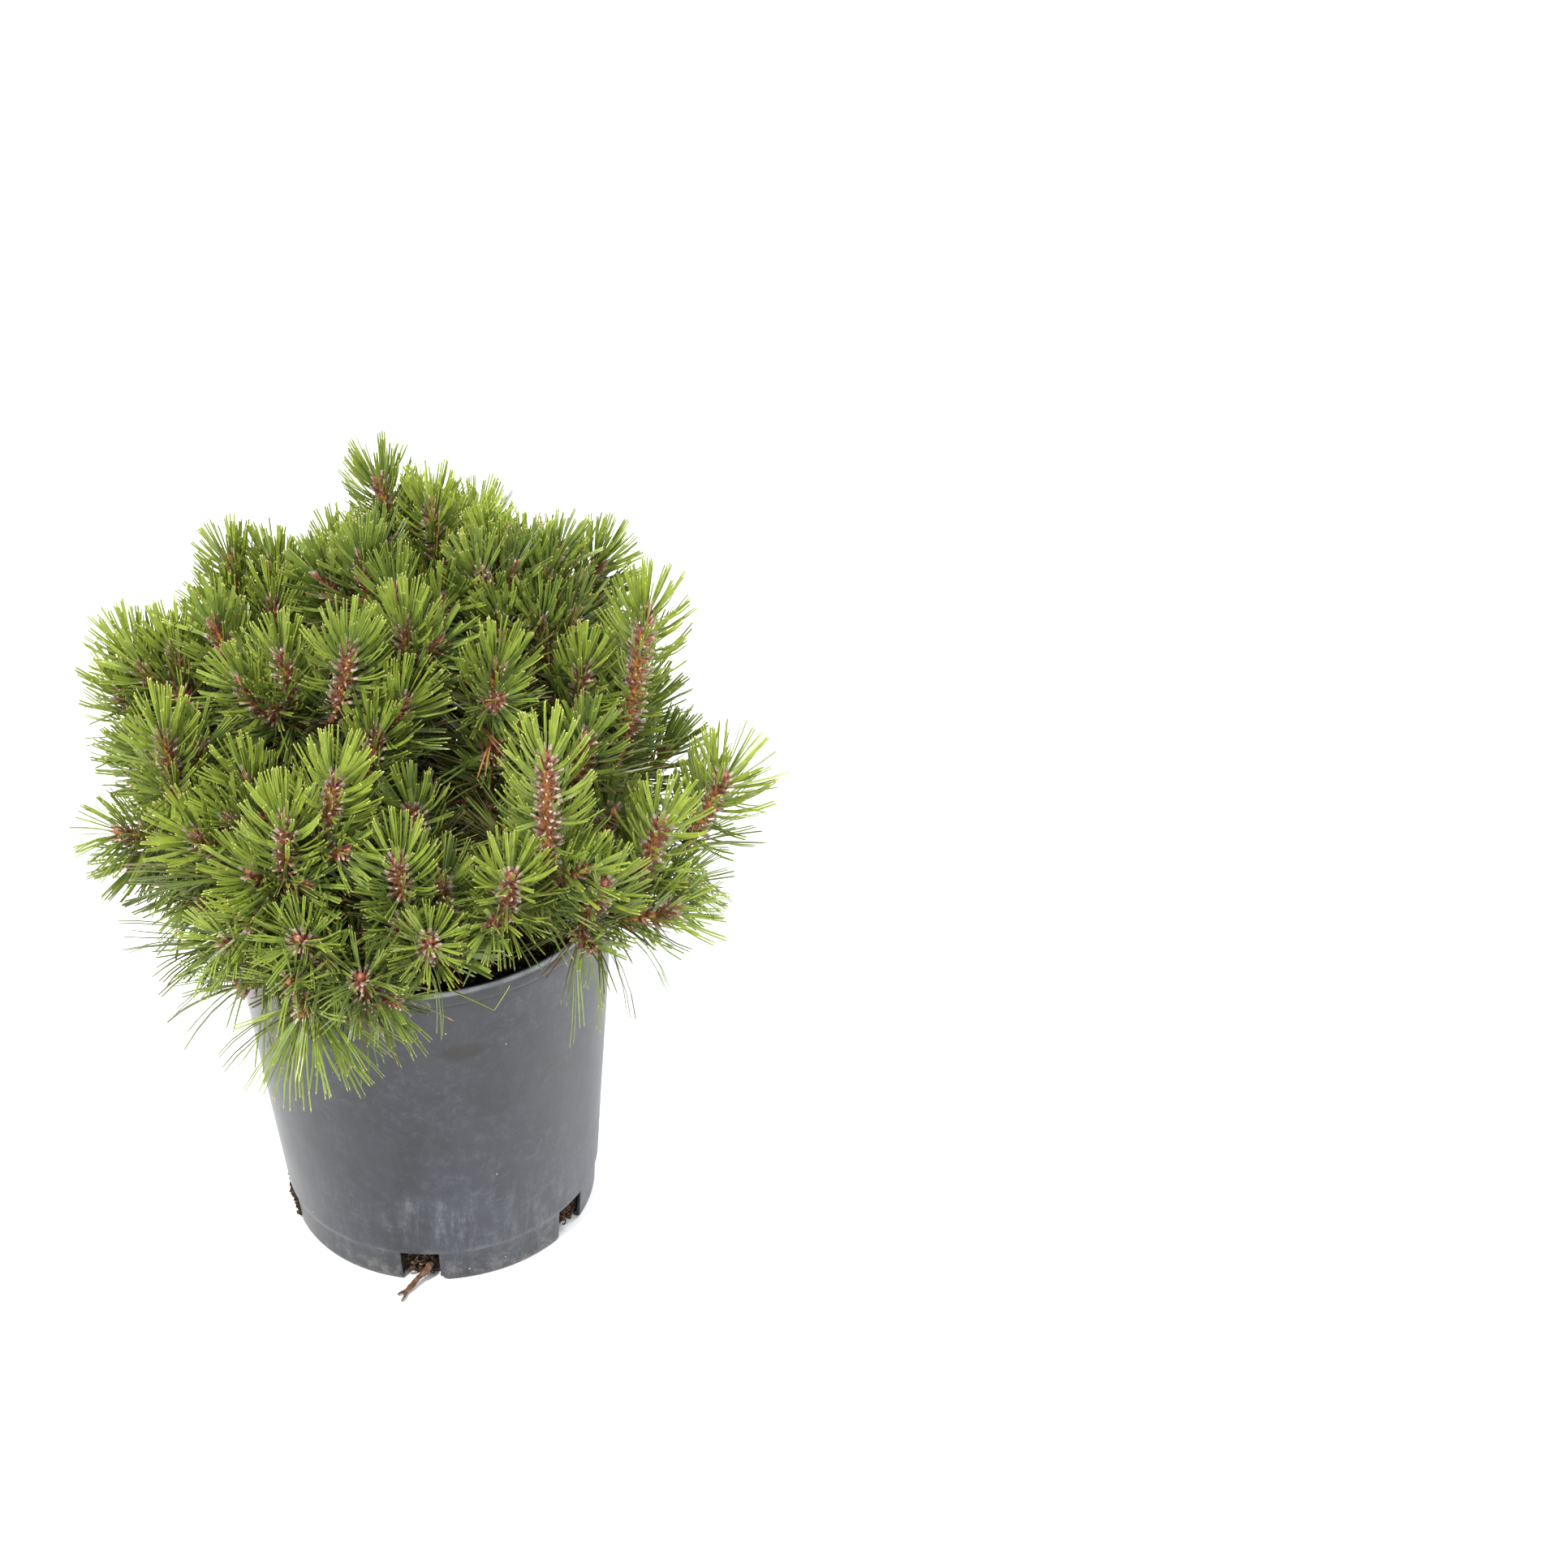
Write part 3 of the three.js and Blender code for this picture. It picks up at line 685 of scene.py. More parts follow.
# A few more, drawn apart from the rest, close the lines of sight through it.
main_rng, rng = rng, np.random.default_rng(31)
closing = []
for k in range(10):
    P, D = np.array(bone.p), np.array(bone.d)
    goal = np.array([rng.uniform(0.0, 0.12), rng.uniform(-0.05, -0.012), rng.uniform(0.312, 0.35)])
    j = np.argmin(np.linalg.norm(P - goal, axis=1))
    way = unit(D[j] * 0.4 + rng.normal(size=3) * np.array([0.6, 1, 0.5]) + np.array([0, 0, 0.2]))
    end = P[j] + way * rng.uniform(0.024, 0.038)
    line = bezier(P[j], P[j] + way * 0.01, end - np.array([0, 0, 0.008]), end, 8)
    weak = Shoot(end, way, 0.03, 0.036, 2, True)
    weak.inner = True
    closing.append((line, weak))
rng = main_rng

wood = Joined()
for line, s in twigs + closing:
    n = len(line)
    thick = (0.0024 if not s.side else 0.0017)
    length = np.linalg.norm(np.diff(line, axis=0), axis=1).sum()
    radii = np.linspace(thick + 0.0012 * min(1, length / 0.08), thick, n)
    wood.add(*tube(line, radii, 7, 0.5, 3.0, 300))
twig_piece = wood.build("twigs", [TWIG], "bark")

candles = Joined()
for s in shoots:
    n = max(6, int(s.length / 0.0034))
    t = np.linspace(-0.02, 1.0, n)
    radii = s.radius * (1 - 0.2 * t)
    candles.add(*tube(s.at(t), radii, 7, 0.55, 11.0, 420))
candle_piece = candles.build("candle_stems", [CANDLE], "bark")


# --------------------------------------------------------------- needles
needles = {tone: Sprays((0.0, 0.3, 0.66, 0.965), (0.66, 1.0, 1.0, 0.8)) for tone in NEEDLE_TONES}
far_needles = {tone: Sprays((0.0, 0.42, 0.95), (0.72, 1.0, 0.78)) for tone in NEEDLE_TONES}
long_needles = {tone: Sprays((0.0, 0.45, 0.93), (0.85, 1.0, 0.65)) for tone in ("green", "shaded", "old")}
hanging_needles = {tone: Sprays((0.0, 0.25, 0.5, 0.75, 0.96), (0.8, 1.0, 1.0, 0.95, 0.7)) for tone in ("fresh", "green", "shaded", "old")}
dry_needles = Sprays((0.0, 0.3, 0.65, 0.92), (0.9, 1.0, 0.9, 0.5))
sheaths = Sprays((0.0, 0.64, 0.99), (1.05, 0.88, 0.98))
far_sheaths = Sprays((0.0, 0.7), (1.05, 0.95))
old_sheaths = Sprays((0.0, 0.9), (1.0, 0.9))
TONE_ORDER = ["sunlit", "fresh", "green", "shaded", "old"]


# The skirt parts over the front of the can's rim: few needles cross it there.
PART_WAY, PART_SIDE = np.array([0.1236, -0.9923, 0.0]), np.array([0.9923, 0.1236, 0.0])


def crosses_rim(tip):
    along, side = tip @ PART_WAY, tip @ PART_SIDE
    edge = np.sqrt(np.maximum(0.1204**2 - side**2, 0))
    return (side > -0.008) & (side < 0.082) & (along > edge) & (tip[:, 2] - 0.77 * (along - edge) < 0.247)


def beside_can(tip):
    """Where the skirt is thin: lower than the rim, beside the can and in front of it."""
    along, side = tip @ PART_WAY, tip @ PART_SIDE
    drop = tip[:, 2] - 0.77 * along
    left = np.where(side < -0.09, np.interp(drop, [0.14, 0.155, 0.172], [0.93, 0.8, 0.0]), np.where(side < -0.008, 0.45 * (drop < 0.148), 0.0))
    return np.where(side > 0.082, 0.72 * (drop < 0.168), left) * (along > -0.02)


def fascicles(point, tangent, radius, turn, alpha, length, tone, droop, width, bag, sheath, inward=0.2, pair=0.02, keep=None, wild=0.03):
    """Needle pairs that leave a stem at alpha from its tangent, at the given turns.
    Where keep is false only the sheath is left."""
    n = len(point)
    radial = sides(tangent, turn)
    way = unit(tangent * np.cos(alpha)[:, None] + radial * np.sin(alpha)[:, None] + rng.normal(0, 0.04, (n, 3)))
    start = point + radial * (radius * 0.8)
    toward = tangent - way * np.sum(tangent * way, axis=1, keepdims=True)
    bend = toward * (inward * rng.normal(1, 0.35, n))[:, None] + np.array([0, 0, -1.0]) * np.asarray(droop)[:, None]
    bend = bend + rng.normal(0, wild, (n, 3))
    bend -= way * np.sum(bend * way, axis=1, keepdims=True)
    apart = unit(np.cross(way, unit(rng.normal(size=(n, 3)))))
    facing = np.cross(way, apart)
    long_s = (0.0088 if sheath == "new" else 0.004) * rng.uniform(0.8, 1.15, n)
    if sheath == "new":
        (sheaths if bag is needles else far_sheaths).add(start, way, bend * (long_s / length)[:, None], long_s, (0.0021 if bag is needles else 0.0021) * rng.uniform(0.85, 1.15, n), facing)
    elif sheath == "old":
        old_sheaths.add(start, way, bend * 0.1, long_s, 0.0019, facing)
    tones = np.clip(np.asarray(tone) + rng.choice([-1, 0, 0, 0, 0, 1], n), 0, len(TONE_ORDER) - 1)
    gape = np.abs(rng.normal(0, 1, n)) * pair + pair * 0.3
    keep = np.full(n, True) if keep is None else keep
    tip = start + (way + bend) * np.broadcast_to(length, (n,))[:, None]
    keep = keep & ~(crosses_rim(tip) & (rng.random(n) < 0.86)) & (rng.random(n) >= beside_can(tip))
    for sign in (-1, 1):
        lift = start + way * (long_s * 0.86)[:, None] + apart * (sign * width * 0.36)
        split = unit(way + apart * (sign * gape)[:, None])
        ln = (length - long_s * 0.86) * rng.uniform(0.95, 1.03, n)
        w = width * rng.uniform(0.92, 1.08, n)
        for k, name in enumerate(TONE_ORDER):
            pick = (tones == k) & keep
            if name not in bag or not pick.any():
                continue
            bag[name].add(lift[pick], split[pick], bend[pick], ln[pick], w[pick], facing[pick])


def sides(tangent, turn):
    """The direction straight out from a stem at each turn round it."""
    helper = np.where(np.abs(tangent[:, 2:3]) > 0.9, np.array([[1.0, 0, 0]]), np.array([[0, 0, 1.0]]))
    u = unit(np.cross(tangent, helper))
    return u * np.cos(turn)[:, None] + np.cross(tangent, u) * np.sin(turn)[:, None]


def clothe_shoot(s):
    per_mm = float(np.interp(s.bud[2], [0.285, 0.325], [1.05, 1.7])) if s.leader else 1.24 if not s.side else 1.0
    body = int(s.length / MM * per_mm)
    crowd = 14 if not s.side else 6
    f = np.r_[np.linspace(0.05, 1 - 0.002 / s.length, body), np.linspace(1 - 0.006 / s.length, 1.0, crowd)]
    n = len(f)
    f = np.clip(f + rng.normal(0, 0.005, n), 0, 1)
    below = (1 - f) * s.length
    alpha = np.interp(below, [0, 0.002, 0.006, 0.013, 0.022, 0.05, 0.09], [9, 20, 34, 44, 50, 55, 59])
    alpha = (alpha + rng.normal(0, 4, n)) * RAD
    turn = np.arange(n) * GOLDEN + rng.normal(0, 0.12, n)
    # on its outer side a shoot's needles spread wider and stand further apart
    out = unit([s.bud[0], s.bud[1], 0.0])
    outer = sides(s.along(f), turn) @ out
    alpha = alpha + np.interp(outer, [-1, 0, 0.5, 1], [-3, 0, 6, 12]) * np.interp(below, [0.001, 0.008], [0.3, 1]) * RAD
    # a low shoot is open at its tip, like a star
    star = float(np.interp(s.bud[2], [0.33, 0.39], [1, 0])) if s.leader else 0.0
    spread = 13 * float(np.interp(s.bud[2], [0.29, 0.345], [1, 0])) if s.leader and s.bud[0] < 0 else 0.0
    alpha = alpha + spread * np.interp(below, [0.004, 0.02], [0, 1]) * RAD
    alpha = alpha + star * np.interp(below, [0, 0.004, 0.013, 0.03], [16, 14, 8, 3]) * RAD
    keep = (rng.random(n) > np.interp(outer, [0.4, 0.85], [0.0, 0.5])) | (below < 0.004)
    if s.length > 0.08:
        keep &= rng.random(n) > np.interp(below, [0.015, 0.045], [0.0, 0.3 if s.length > 0.1 else 0.1])
    length = s.needle * np.interp(below, [0, 0.01, 0.04, 0.09], [0.94, 1.0, 0.98, 0.88]) * rng.uniform(0.94, 1.05, n)
    inward = np.interp(below, [0, 0.01, 0.03], [0.1, 0.24, 0.27])
    # the lower needles of a shoot stand in the shade of the upper ones
    tone = s.tone + (rng.random(n) < np.interp(below, [0.01, 0.03, 0.06], [0.0, 0.7, 1.0])) + (rng.random(n) < np.interp(below, [0.025, 0.08], [0.0, 0.7]))
    tone = np.minimum(tone, max(3, s.tone))
    stiff = s.way[2] > 0.87 and s.bud[0] > 0.05
    low = s.leader and s.bud[2] < 0.345 and not stiff
    hanging = float(np.interp(s.bud[2], [0.29, 0.345], [1, 0])) if s.leader else 0.0
    hanging *= 0.0 if stiff else float(np.interp(math.atan2(s.bud[1], s.bud[0]) / RAD, [-100, -85], [1, 0.2]))
    pair = np.interp(below, [0.008, 0.02], [0.012, 0.028]) * (2.2 if low else 1.0)
    width = 0.00116 if low else 0.0013 if s.leader else 0.0014
    # low shoots hang their outer and under needles in long curves
    under = np.clip(outer * 0.6 - sides(s.along(f), turn)[:, 2], 0, 1)
    droop = s.droop + hanging * under * rng.uniform(0.08, 0.7, n)
    length = length * (1 + hanging * under * rng.uniform(0.0, 0.28, n))
    # painted shade: the under needles of a low shoot take a darker tone
    tone = tone + (rng.random(n) < 0.5 * hanging * under)
    inward = inward * (1 - 1.25 * hanging * (s.bud[0] < 0))
    fascicles(s.at(f), s.along(f), s.radius, turn, alpha, length, tone, droop, width, needles if s.leader else far_needles, "new", inward, pair, keep, 0.03 + 0.13 * hanging)


def clothe_twig(line, s):
    seg = np.linalg.norm(np.diff(line, axis=0), axis=1)
    total = seg.sum()
    reach = total if s.inner else min(total, 0.085 if not s.side else 0.028)
    n = int(reach / MM * 0.8)
    if n < 3:
        return
    back = rng.uniform(0, 1, n) ** 1.2 * reach
    dist = np.r_[0, np.cumsum(seg)]
    at = total - back
    p = np.stack([np.interp(at, dist, line[:, k]) for k in range(3)], 1)
    t3 = unit(np.gradient(line, axis=0))
    t = unit(np.stack([np.interp(at, dist, t3[:, k]) for k in range(3)], 1))
    turn = np.arange(n) * GOLDEN + rng.normal(0, 0.3, n)
    alpha = rng.uniform(42, 80, n) * RAD
    length = rng.uniform(36, 45, n) * (0.86 if s.inner else 1.0) * MM
    # the needles of older years on a twig take darker tones: partly their older colour, partly painted shade
    tone = np.minimum(4, s.tone + 1 + (rng.random(n) < 0.5) + (rng.random(n) < 0.3))
    low = float(np.interp(s.bud[2], [0.28, 0.36], [1, 0])) * (0.3 if s.inner else 1.0)
    length = length * (1 + 0.18 * low)
    droop = rng.uniform(0.0, 0.12, n) + low * rng.uniform(0.05, 0.5, n)
    fascicles(p, t, 0.0022, turn, alpha, length, np.maximum(tone, 2), droop, 0.0014, long_needles, "none" if s.inner else "old", 0.08, 0.05)


def hang_from(s):
    """Long needles of older years, hanging from the outer half of a low shoot's twig."""
    n = int(rng.integers(7, 10) * np.interp(s.bud[2], [0.285, 0.325], [1.5, 0.5]))
    f = rng.uniform(-0.35, 0.5, n)
    out = unit([s.bud[0], s.bud[1], 0.0])
    turn = rng.uniform(0, 2 * math.pi, 4 * n)
    f = np.resize(f, 4 * n)
    radial = sides(s.along(f), turn)
    down = radial @ out * 0.7 - radial[:, 2]
    best = np.argsort(-down + rng.uniform(0, 1.1, 4 * n))[:n]
    f, turn = f[best], turn[best]
    tone = rng.choice([1, 2, 2, 3, 3, 4], n)
    fascicles(s.at(f), s.along(f), 0.002, turn, rng.uniform(34, 78, n) * RAD, rng.uniform(40, 58, n) * MM, tone, rng.uniform(0.12, 0.5, n), 0.00118, hanging_needles, "old", 0.1, 0.03, None, 0.07)


for s in shoots:
    clothe_shoot(s)
for line, s in twigs:
    clothe_twig(line, s)
for s in shoots:
    if s.bud[2] < 0.325 and not s.side and math.hypot(s.bud[0], s.bud[1]) > 0.15 and not -97 < math.atan2(s.bud[1], s.bud[0]) / RAD < 0:
        hang_from(s)

# Needles of older years still stand on the outer part of each bough.
for b in BOUGHS:
    line = centreline(b)
    seg = np.linalg.norm(np.diff(line, axis=0), axis=1)
    dist = np.r_[0, np.cumsum(seg)]
    n = int(dist[-1] * 0.6 / MM * 0.6)
    at = rng.uniform(0.4, 1.0, n) * dist[-1]
    p = np.stack([np.interp(at, dist, line[:, k]) for k in range(3)], 1)
    t3 = unit(np.gradient(line, axis=0))
    t = unit(np.stack([np.interp(at, dist, t3[:, k]) for k in range(3)], 1))
    # the shaded and old tones here are partly the colour of older needles and partly painted shade
    fascicles(p, t, 0.004, rng.uniform(0, 2 * math.pi, n), rng.uniform(50, 85, n) * RAD, rng.uniform(32, 42, n) * MM, rng.integers(3, 5, n), rng.uniform(0, 0.1, n), 0.0013, long_needles, "old", 0.05, 0.05)

# Long needles that hang clear of the crown's low edge, each told by its foot
# and its tip (mm), its width (tenths of mm) and its tone.
HANGING = [
    ((-118, -145, 331), (-167, -119, 285), 10, "old"),
    ((-112, -147, 345), (-166, -120, 341), 10, "old"),
    ((-112, -147, 342), (-169, -116, 327), 10, "green"),
    ((-109, -150, 352), (-148, -142, 336), 10, "green"),
    ((-107, -151, 331), (-157, -131, 292), 10, "green"),
    ((-105, -127, 252), (-131, -157, 279), 10, "old"),
    ((-106, -126, 242), (-136, -153, 266), 10, "old"),
    ((-101, -131, 241), (-138, -145, 243), 10, "old"),
    ((-99, -132, 237), (-129, -146, 223), 11, "green"),
    ((-54, -174, 276), (-88, -194, 233), 11, "green"),
    ((-54, -174, 275), (-99, -190, 246), 10, "old"),
    ((-56, -174, 277), (-78, -197, 234), 11, "green"),
    ((-54, -172, 273), (-64, -193, 219), 11, "green"),
    ((-50, -173, 274), (-51, -197, 221), 11, "green"),
    ((-46, -174, 275), (-25, -201, 239), 11, "fresh"),
    ((-45, -174, 275), (-18, -202, 238), 11, "green"),
    ((-43, -175, 275), (-11, -203, 244), 11, "green"),
    ((-42, -175, 278), (4, -203, 265), 11, "green"),
    ((-56, -171, 273), (-72, -190, 224), 11, "green"),
    ((-48, -172, 272), (-38, -200, 232), 11, "green"),
    ((-29, -175, 281), (9, -186, 251), 11, "green"),
    ((-20, -170, 280), (18, -183, 249), 11, "green"),
    ((-16, -167, 280), (21, -179, 257), 11, "fresh"),
    ((-7, -162, 279), (13, -178, 259), 11, "green"),
    ((-36, -176, 278), (-4, -192, 241), 11, "green"),
    ((92, -105, 252), (101, -114, 210), 11, "green"),
    ((94, -104, 251), (110, -105, 199), 11, "green"),
    ((113, -84, 240), (112, -84, 198), 10, "green"),
    ((126, -81, 226), (137, -82, 180), 10, "old"),
    ((132, -81, 236), (154, -71, 204), 10, "green"),
    ((150, -60, 262), (186, -54, 246), 10, "green"),
    ((-5, -150, 263), (-15, -139, 222), 11, "green"),
    ((14, -146, 262), (22, -140, 226), 11, "green"),
    ((118, 52, 246), (126, 62, 202), 11, "green"),
    ((-62, 118, 248), (-66, 136, 204), 11, "old"),
    ((18, 126, 250), (24, 142, 206), 11, "green"),
    ((-128, 52, 250), (-144, 62, 212), 11, "old"),
    ((66, 112, 250), (74, 126, 208), 11, "green"),
    ((-150, -10, 262), (-172, -16, 232), 11, "old"),
]


def hang(start, tip, width, tone, sag, spread):
    span = tip - start
    if np.linalg.norm(span) > 0.08:
        tip = start + unit(span) * 0.08
        span = tip - start
    ln = np.linalg.norm(span)
    way = span / ln - sag
    side = unit(np.cross(way, [0.2, 0.1, 1.0]))
    for sign in (-1, 1):
        hanging_needles[tone].add([start + side * sign * width * 0.4], [way + side * sign * spread], [sag], ln, width, [np.cross(way, side)])


# each starts on the nearest low shoot
LOW_STEMS = np.concatenate([s.at(np.linspace(-0.2, 0.9, 9)) for s in shoots if s.bud[2] < 0.36])
for foot, tip, width, tone in HANGING:
    foot, tip = np.array(foot) * MM, np.array(tip) * MM
    near = LOW_STEMS[np.argmin(np.linalg.norm(LOW_STEMS - foot, axis=1))]
    tip = tip + (near - foot) * 0.15
    foot = near
    out = unit([tip[0], tip[1], 0.0])
    if tip[0] < -0.09:
        width, tone = width * 1.3, "old" if tone == "old" else "shaded"
    # it leaves the shoot flatter than it ends
    bow = -unit([tip[0] - foot[0], tip[1] - foot[1], 0.0]) * rng.uniform(0.12, 0.34) + rng.normal(0, 0.07, 3)
    hang(foot, tip, width * 0.1 * MM, tone, np.array([0, 0, -rng.uniform(0.06, 0.26)]) + bow, rng.uniform(0.005, 0.03))
    # a weaker one beside it
    off = rng.normal(0, 0.005, 3)
    hang(foot + off * 0.6, tip + off + out * -0.004 + np.array([0, 0, rng.uniform(0, 0.012)]), width * 0.094 * MM, "old" if rng.random() < 0.35 else tone, np.array([0, 0, -rng.uniform(0.1, 0.3)]) + bow * 0.8 + rng.normal(0, 0.06, 3), rng.uniform(0.01, 0.06))
# one that has been bent over and points up again
knee = np.array([52, -121, 234]) * MM
hang(np.array([28, -134, 260]) * MM, knee, 0.0013, "fresh", np.array([0, 0, -0.06]), 0.0)
hang(knee, np.array([62, -120, 251]) * MM, 0.0013, "fresh", np.array([0, 0, 0.02]), 0.0)

P = np.array(bone.p)
# Dead needles, lodged among the twigs and lying on the mix.
inner = P[(np.hypot(P[:, 0], P[:, 1]) < 0.15) & (P[:, 2] > 0.25)]
for k in range(210):
    if k < 130:
        at = inner[rng.integers(len(inner))] + rng.normal(0, 0.009, 3)
        way = unit(rng.normal(size=3) * np.array([1, 1, 0.5]) + np.array([0, 0, -0.2]))
    else:
        r, a = 0.112 * math.sqrt(rng.random()), rng.uniform(0, 2 * math.pi)
        at = np.array([r * math.cos(a), r * math.sin(a), 0.2285 + rng.uniform(0, 0.003)])
        b = rng.uniform(0, 2 * math.pi)
        way = np.array([math.cos(b), math.sin(b), 0.05])
        if np.linalg.norm((at + way * 0.038)[:2]) > 0.114:
            way[:2] = -at[:2] / max(r, 1e-6)
            way = unit(way)
    side = unit(np.cross(way, [0.1, 0.2, 1.0]))
    bend = unit(rng.normal(size=3)) * rng.uniform(0.02, 0.14)
    if k >= 130:
        bend[2] = -0.03
    for sign in (-1, 1):
        dry_needles.add([at], [unit(way + side * sign * rng.uniform(0.02, 0.16))], [bend], rng.uniform(0.03, 0.042), 0.00105, [np.cross(way, side)])

rng = np.random.default_rng(32)
for line, s in closing:
    clothe_twig(line, s)
rng = main_rng

made = dry_needles.build("dead_needles", DRY_MATS, "needles")
for tone, bag in needles.items():
    made += bag.build(f"needles_{tone}", NEEDLE_MATS[tone], "needles")
for tone, bag in far_needles.items():
    made += bag.build(f"outer_needles_{tone}", NEEDLE_MATS[tone], "needles")
for tone, bag in long_needles.items():
    made += bag.build(f"inner_needles_{tone}", NEEDLE_MATS[tone], "needles")
for tone, bag in hanging_needles.items():
    made += bag.build(f"hanging_needles_{tone}", NEEDLE_MATS[tone], "needles")
made += sheaths.build("sheaths", [SHEATH_MATS[1], SHEATH_MATS[0], SHEATH_MATS[1]], "needles")
made += far_sheaths.build("outer_sheaths", [SHEATH_MATS[0], SHEATH_MATS[0], SHEATH_MATS[1]], "needles")
made += old_sheaths.build("old_sheaths", [SHEATH_MATS[2]] * 3, "needles")

# ------------------------------------------------------------------ buds
buds_mesh = Joined()


def bud_shape(at, way, length, width):
    rings, around = 6, 6
    t, u, v = way, *(lambda a: (a, np.cross(way, a)))(unit(np.cross(way, [0.3, 0.5, 0.8])))
    verts, tris = [], []
    for i in range(rings):
        f = i / (rings - 1)
        r = width * 0.5 * (math.sin(math.pi * min(1, f * 0.86 + 0.14)) ** 0.7) * (1 + 0.1 * (i % 2))
        for j in range(around):
            a = 2 * math.pi * (j + 0.5 * (i % 2)) / around
            verts.append(at + t * length * f + (u * math.cos(a) + v * math.sin(a)) * max(r, width * 0.03))
    a, b = len(verts), len(verts) + 1
    verts += [at, at + t * length * 1.03]
    for i in range(rings - 1):
        for j in range(around):
            k = (j + 1) % around
            q = [i * around + j, i * around + k, (i + 1) * around + k, (i + 1) * around + j]
            tris += [[q[0], q[1], q[2]], [q[0], q[2], q[3]]]
    last = (rings - 1) * around
    for j in range(around):
        k = (j + 1) % around
        tris += [[a, k, j], [b, last + j, last + k]]
    return np.array(verts), np.array(tris)


for s in shoots:
    way = s.along(1.0)
    size = (0.0066, 0.0044) if s.leader else (0.0062, 0.0036) if not s.side else (0.0048, 0.0028)
    buds_mesh.add(*bud_shape(s.bud - way * 0.001, way, size[0], size[1]))
    if not s.side:
        for k in range(rng.integers(1, 3)):
            d = unit(way + unit(np.cross(way, rng.normal(size=3))) * 0.5)
            buds_mesh.add(*bud_shape(s.bud - way * 0.002, d, size[0] * 0.7, size[1] * 0.7))
bud_piece = buds_mesh.build("buds", [BUD], "bark")

for piece in made:
    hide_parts(*MASSES)

# --------------------------------------------- stem and boughs, in relief
def bark_copy(node, voxel, depth):
    """The CAD limb's own shape with its facets rounded and bark raised on it."""
    src = NODES[node]
    bm = bmesh.new()
    bm.from_mesh(src.data)
    bm.transform(src.matrix_world)
    mesh = bpy.data.meshes.new(node + "_bark")
    bm.to_mesh(mesh)
    bm.free()
    obj = bpy.data.objects.new(node + "_bark", mesh)
    scene.collection.objects.link(obj)
    mod = obj.modifiers.new("remesh", "REMESH")
    mod.mode = "VOXEL"
    mod.voxel_size = voxel
    sm = obj.modifiers.new("smooth", "SMOOTH")
    sm.factor = 0.5
    sm.iterations = 6
    deps = bpy.context.evaluated_depsgraph_get()
    done = bpy.data.meshes.new_from_object(obj.evaluated_get(deps))
    obj.modifiers.clear()
    obj.data = done
    done.materials.clear()
    done.materials.append(BARK)
    n = len(done.vertices)
    co = np.empty(n * 3)
    no = np.empty(n * 3)
    done.vertices.foreach_get("co", co)
    done.vertices.foreach_get("normal", no)
    co, no = co.reshape(-1, 3), no.reshape(-1, 3)
    push = np.array(
        [
            (1 - abs(noise.noise(Vector((p[0] * 170, p[1] * 170, p[2] * 110))))) * 0.7
            + 0.5 * noise.noise(Vector(p * 420))
            - 0.45
            for p in co
        ]
    )
    co = co + no * (push * depth)[:, None]
    done.vertices.foreach_set("co", co.ravel())
    done.polygons.foreach_set("use_smooth", np.full(len(done.polygons), True))
    done.update()
    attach(obj, "root")
    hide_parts(node)
    return obj


for node in BOUGHS:
    bark_copy(node, 0.0009, 0.0011)
bark_copy("stem", 0.0009, 0.0016)

# ---------------------------------------------------------------- the can
CAN_H, RIM_BAND, FOOT_H, FOOT_INSET, WALL = 0.244, 0.010, 0.024, 0.0012, 0.0022
SLOTS = [-95, -31, 45, 123, 196]
SLOT_HALF, SLOT_REACH = 0.012, 0.088


def cone(z):
    return 0.0975 + 0.0205 * z / (CAN_H - RIM_BAND)


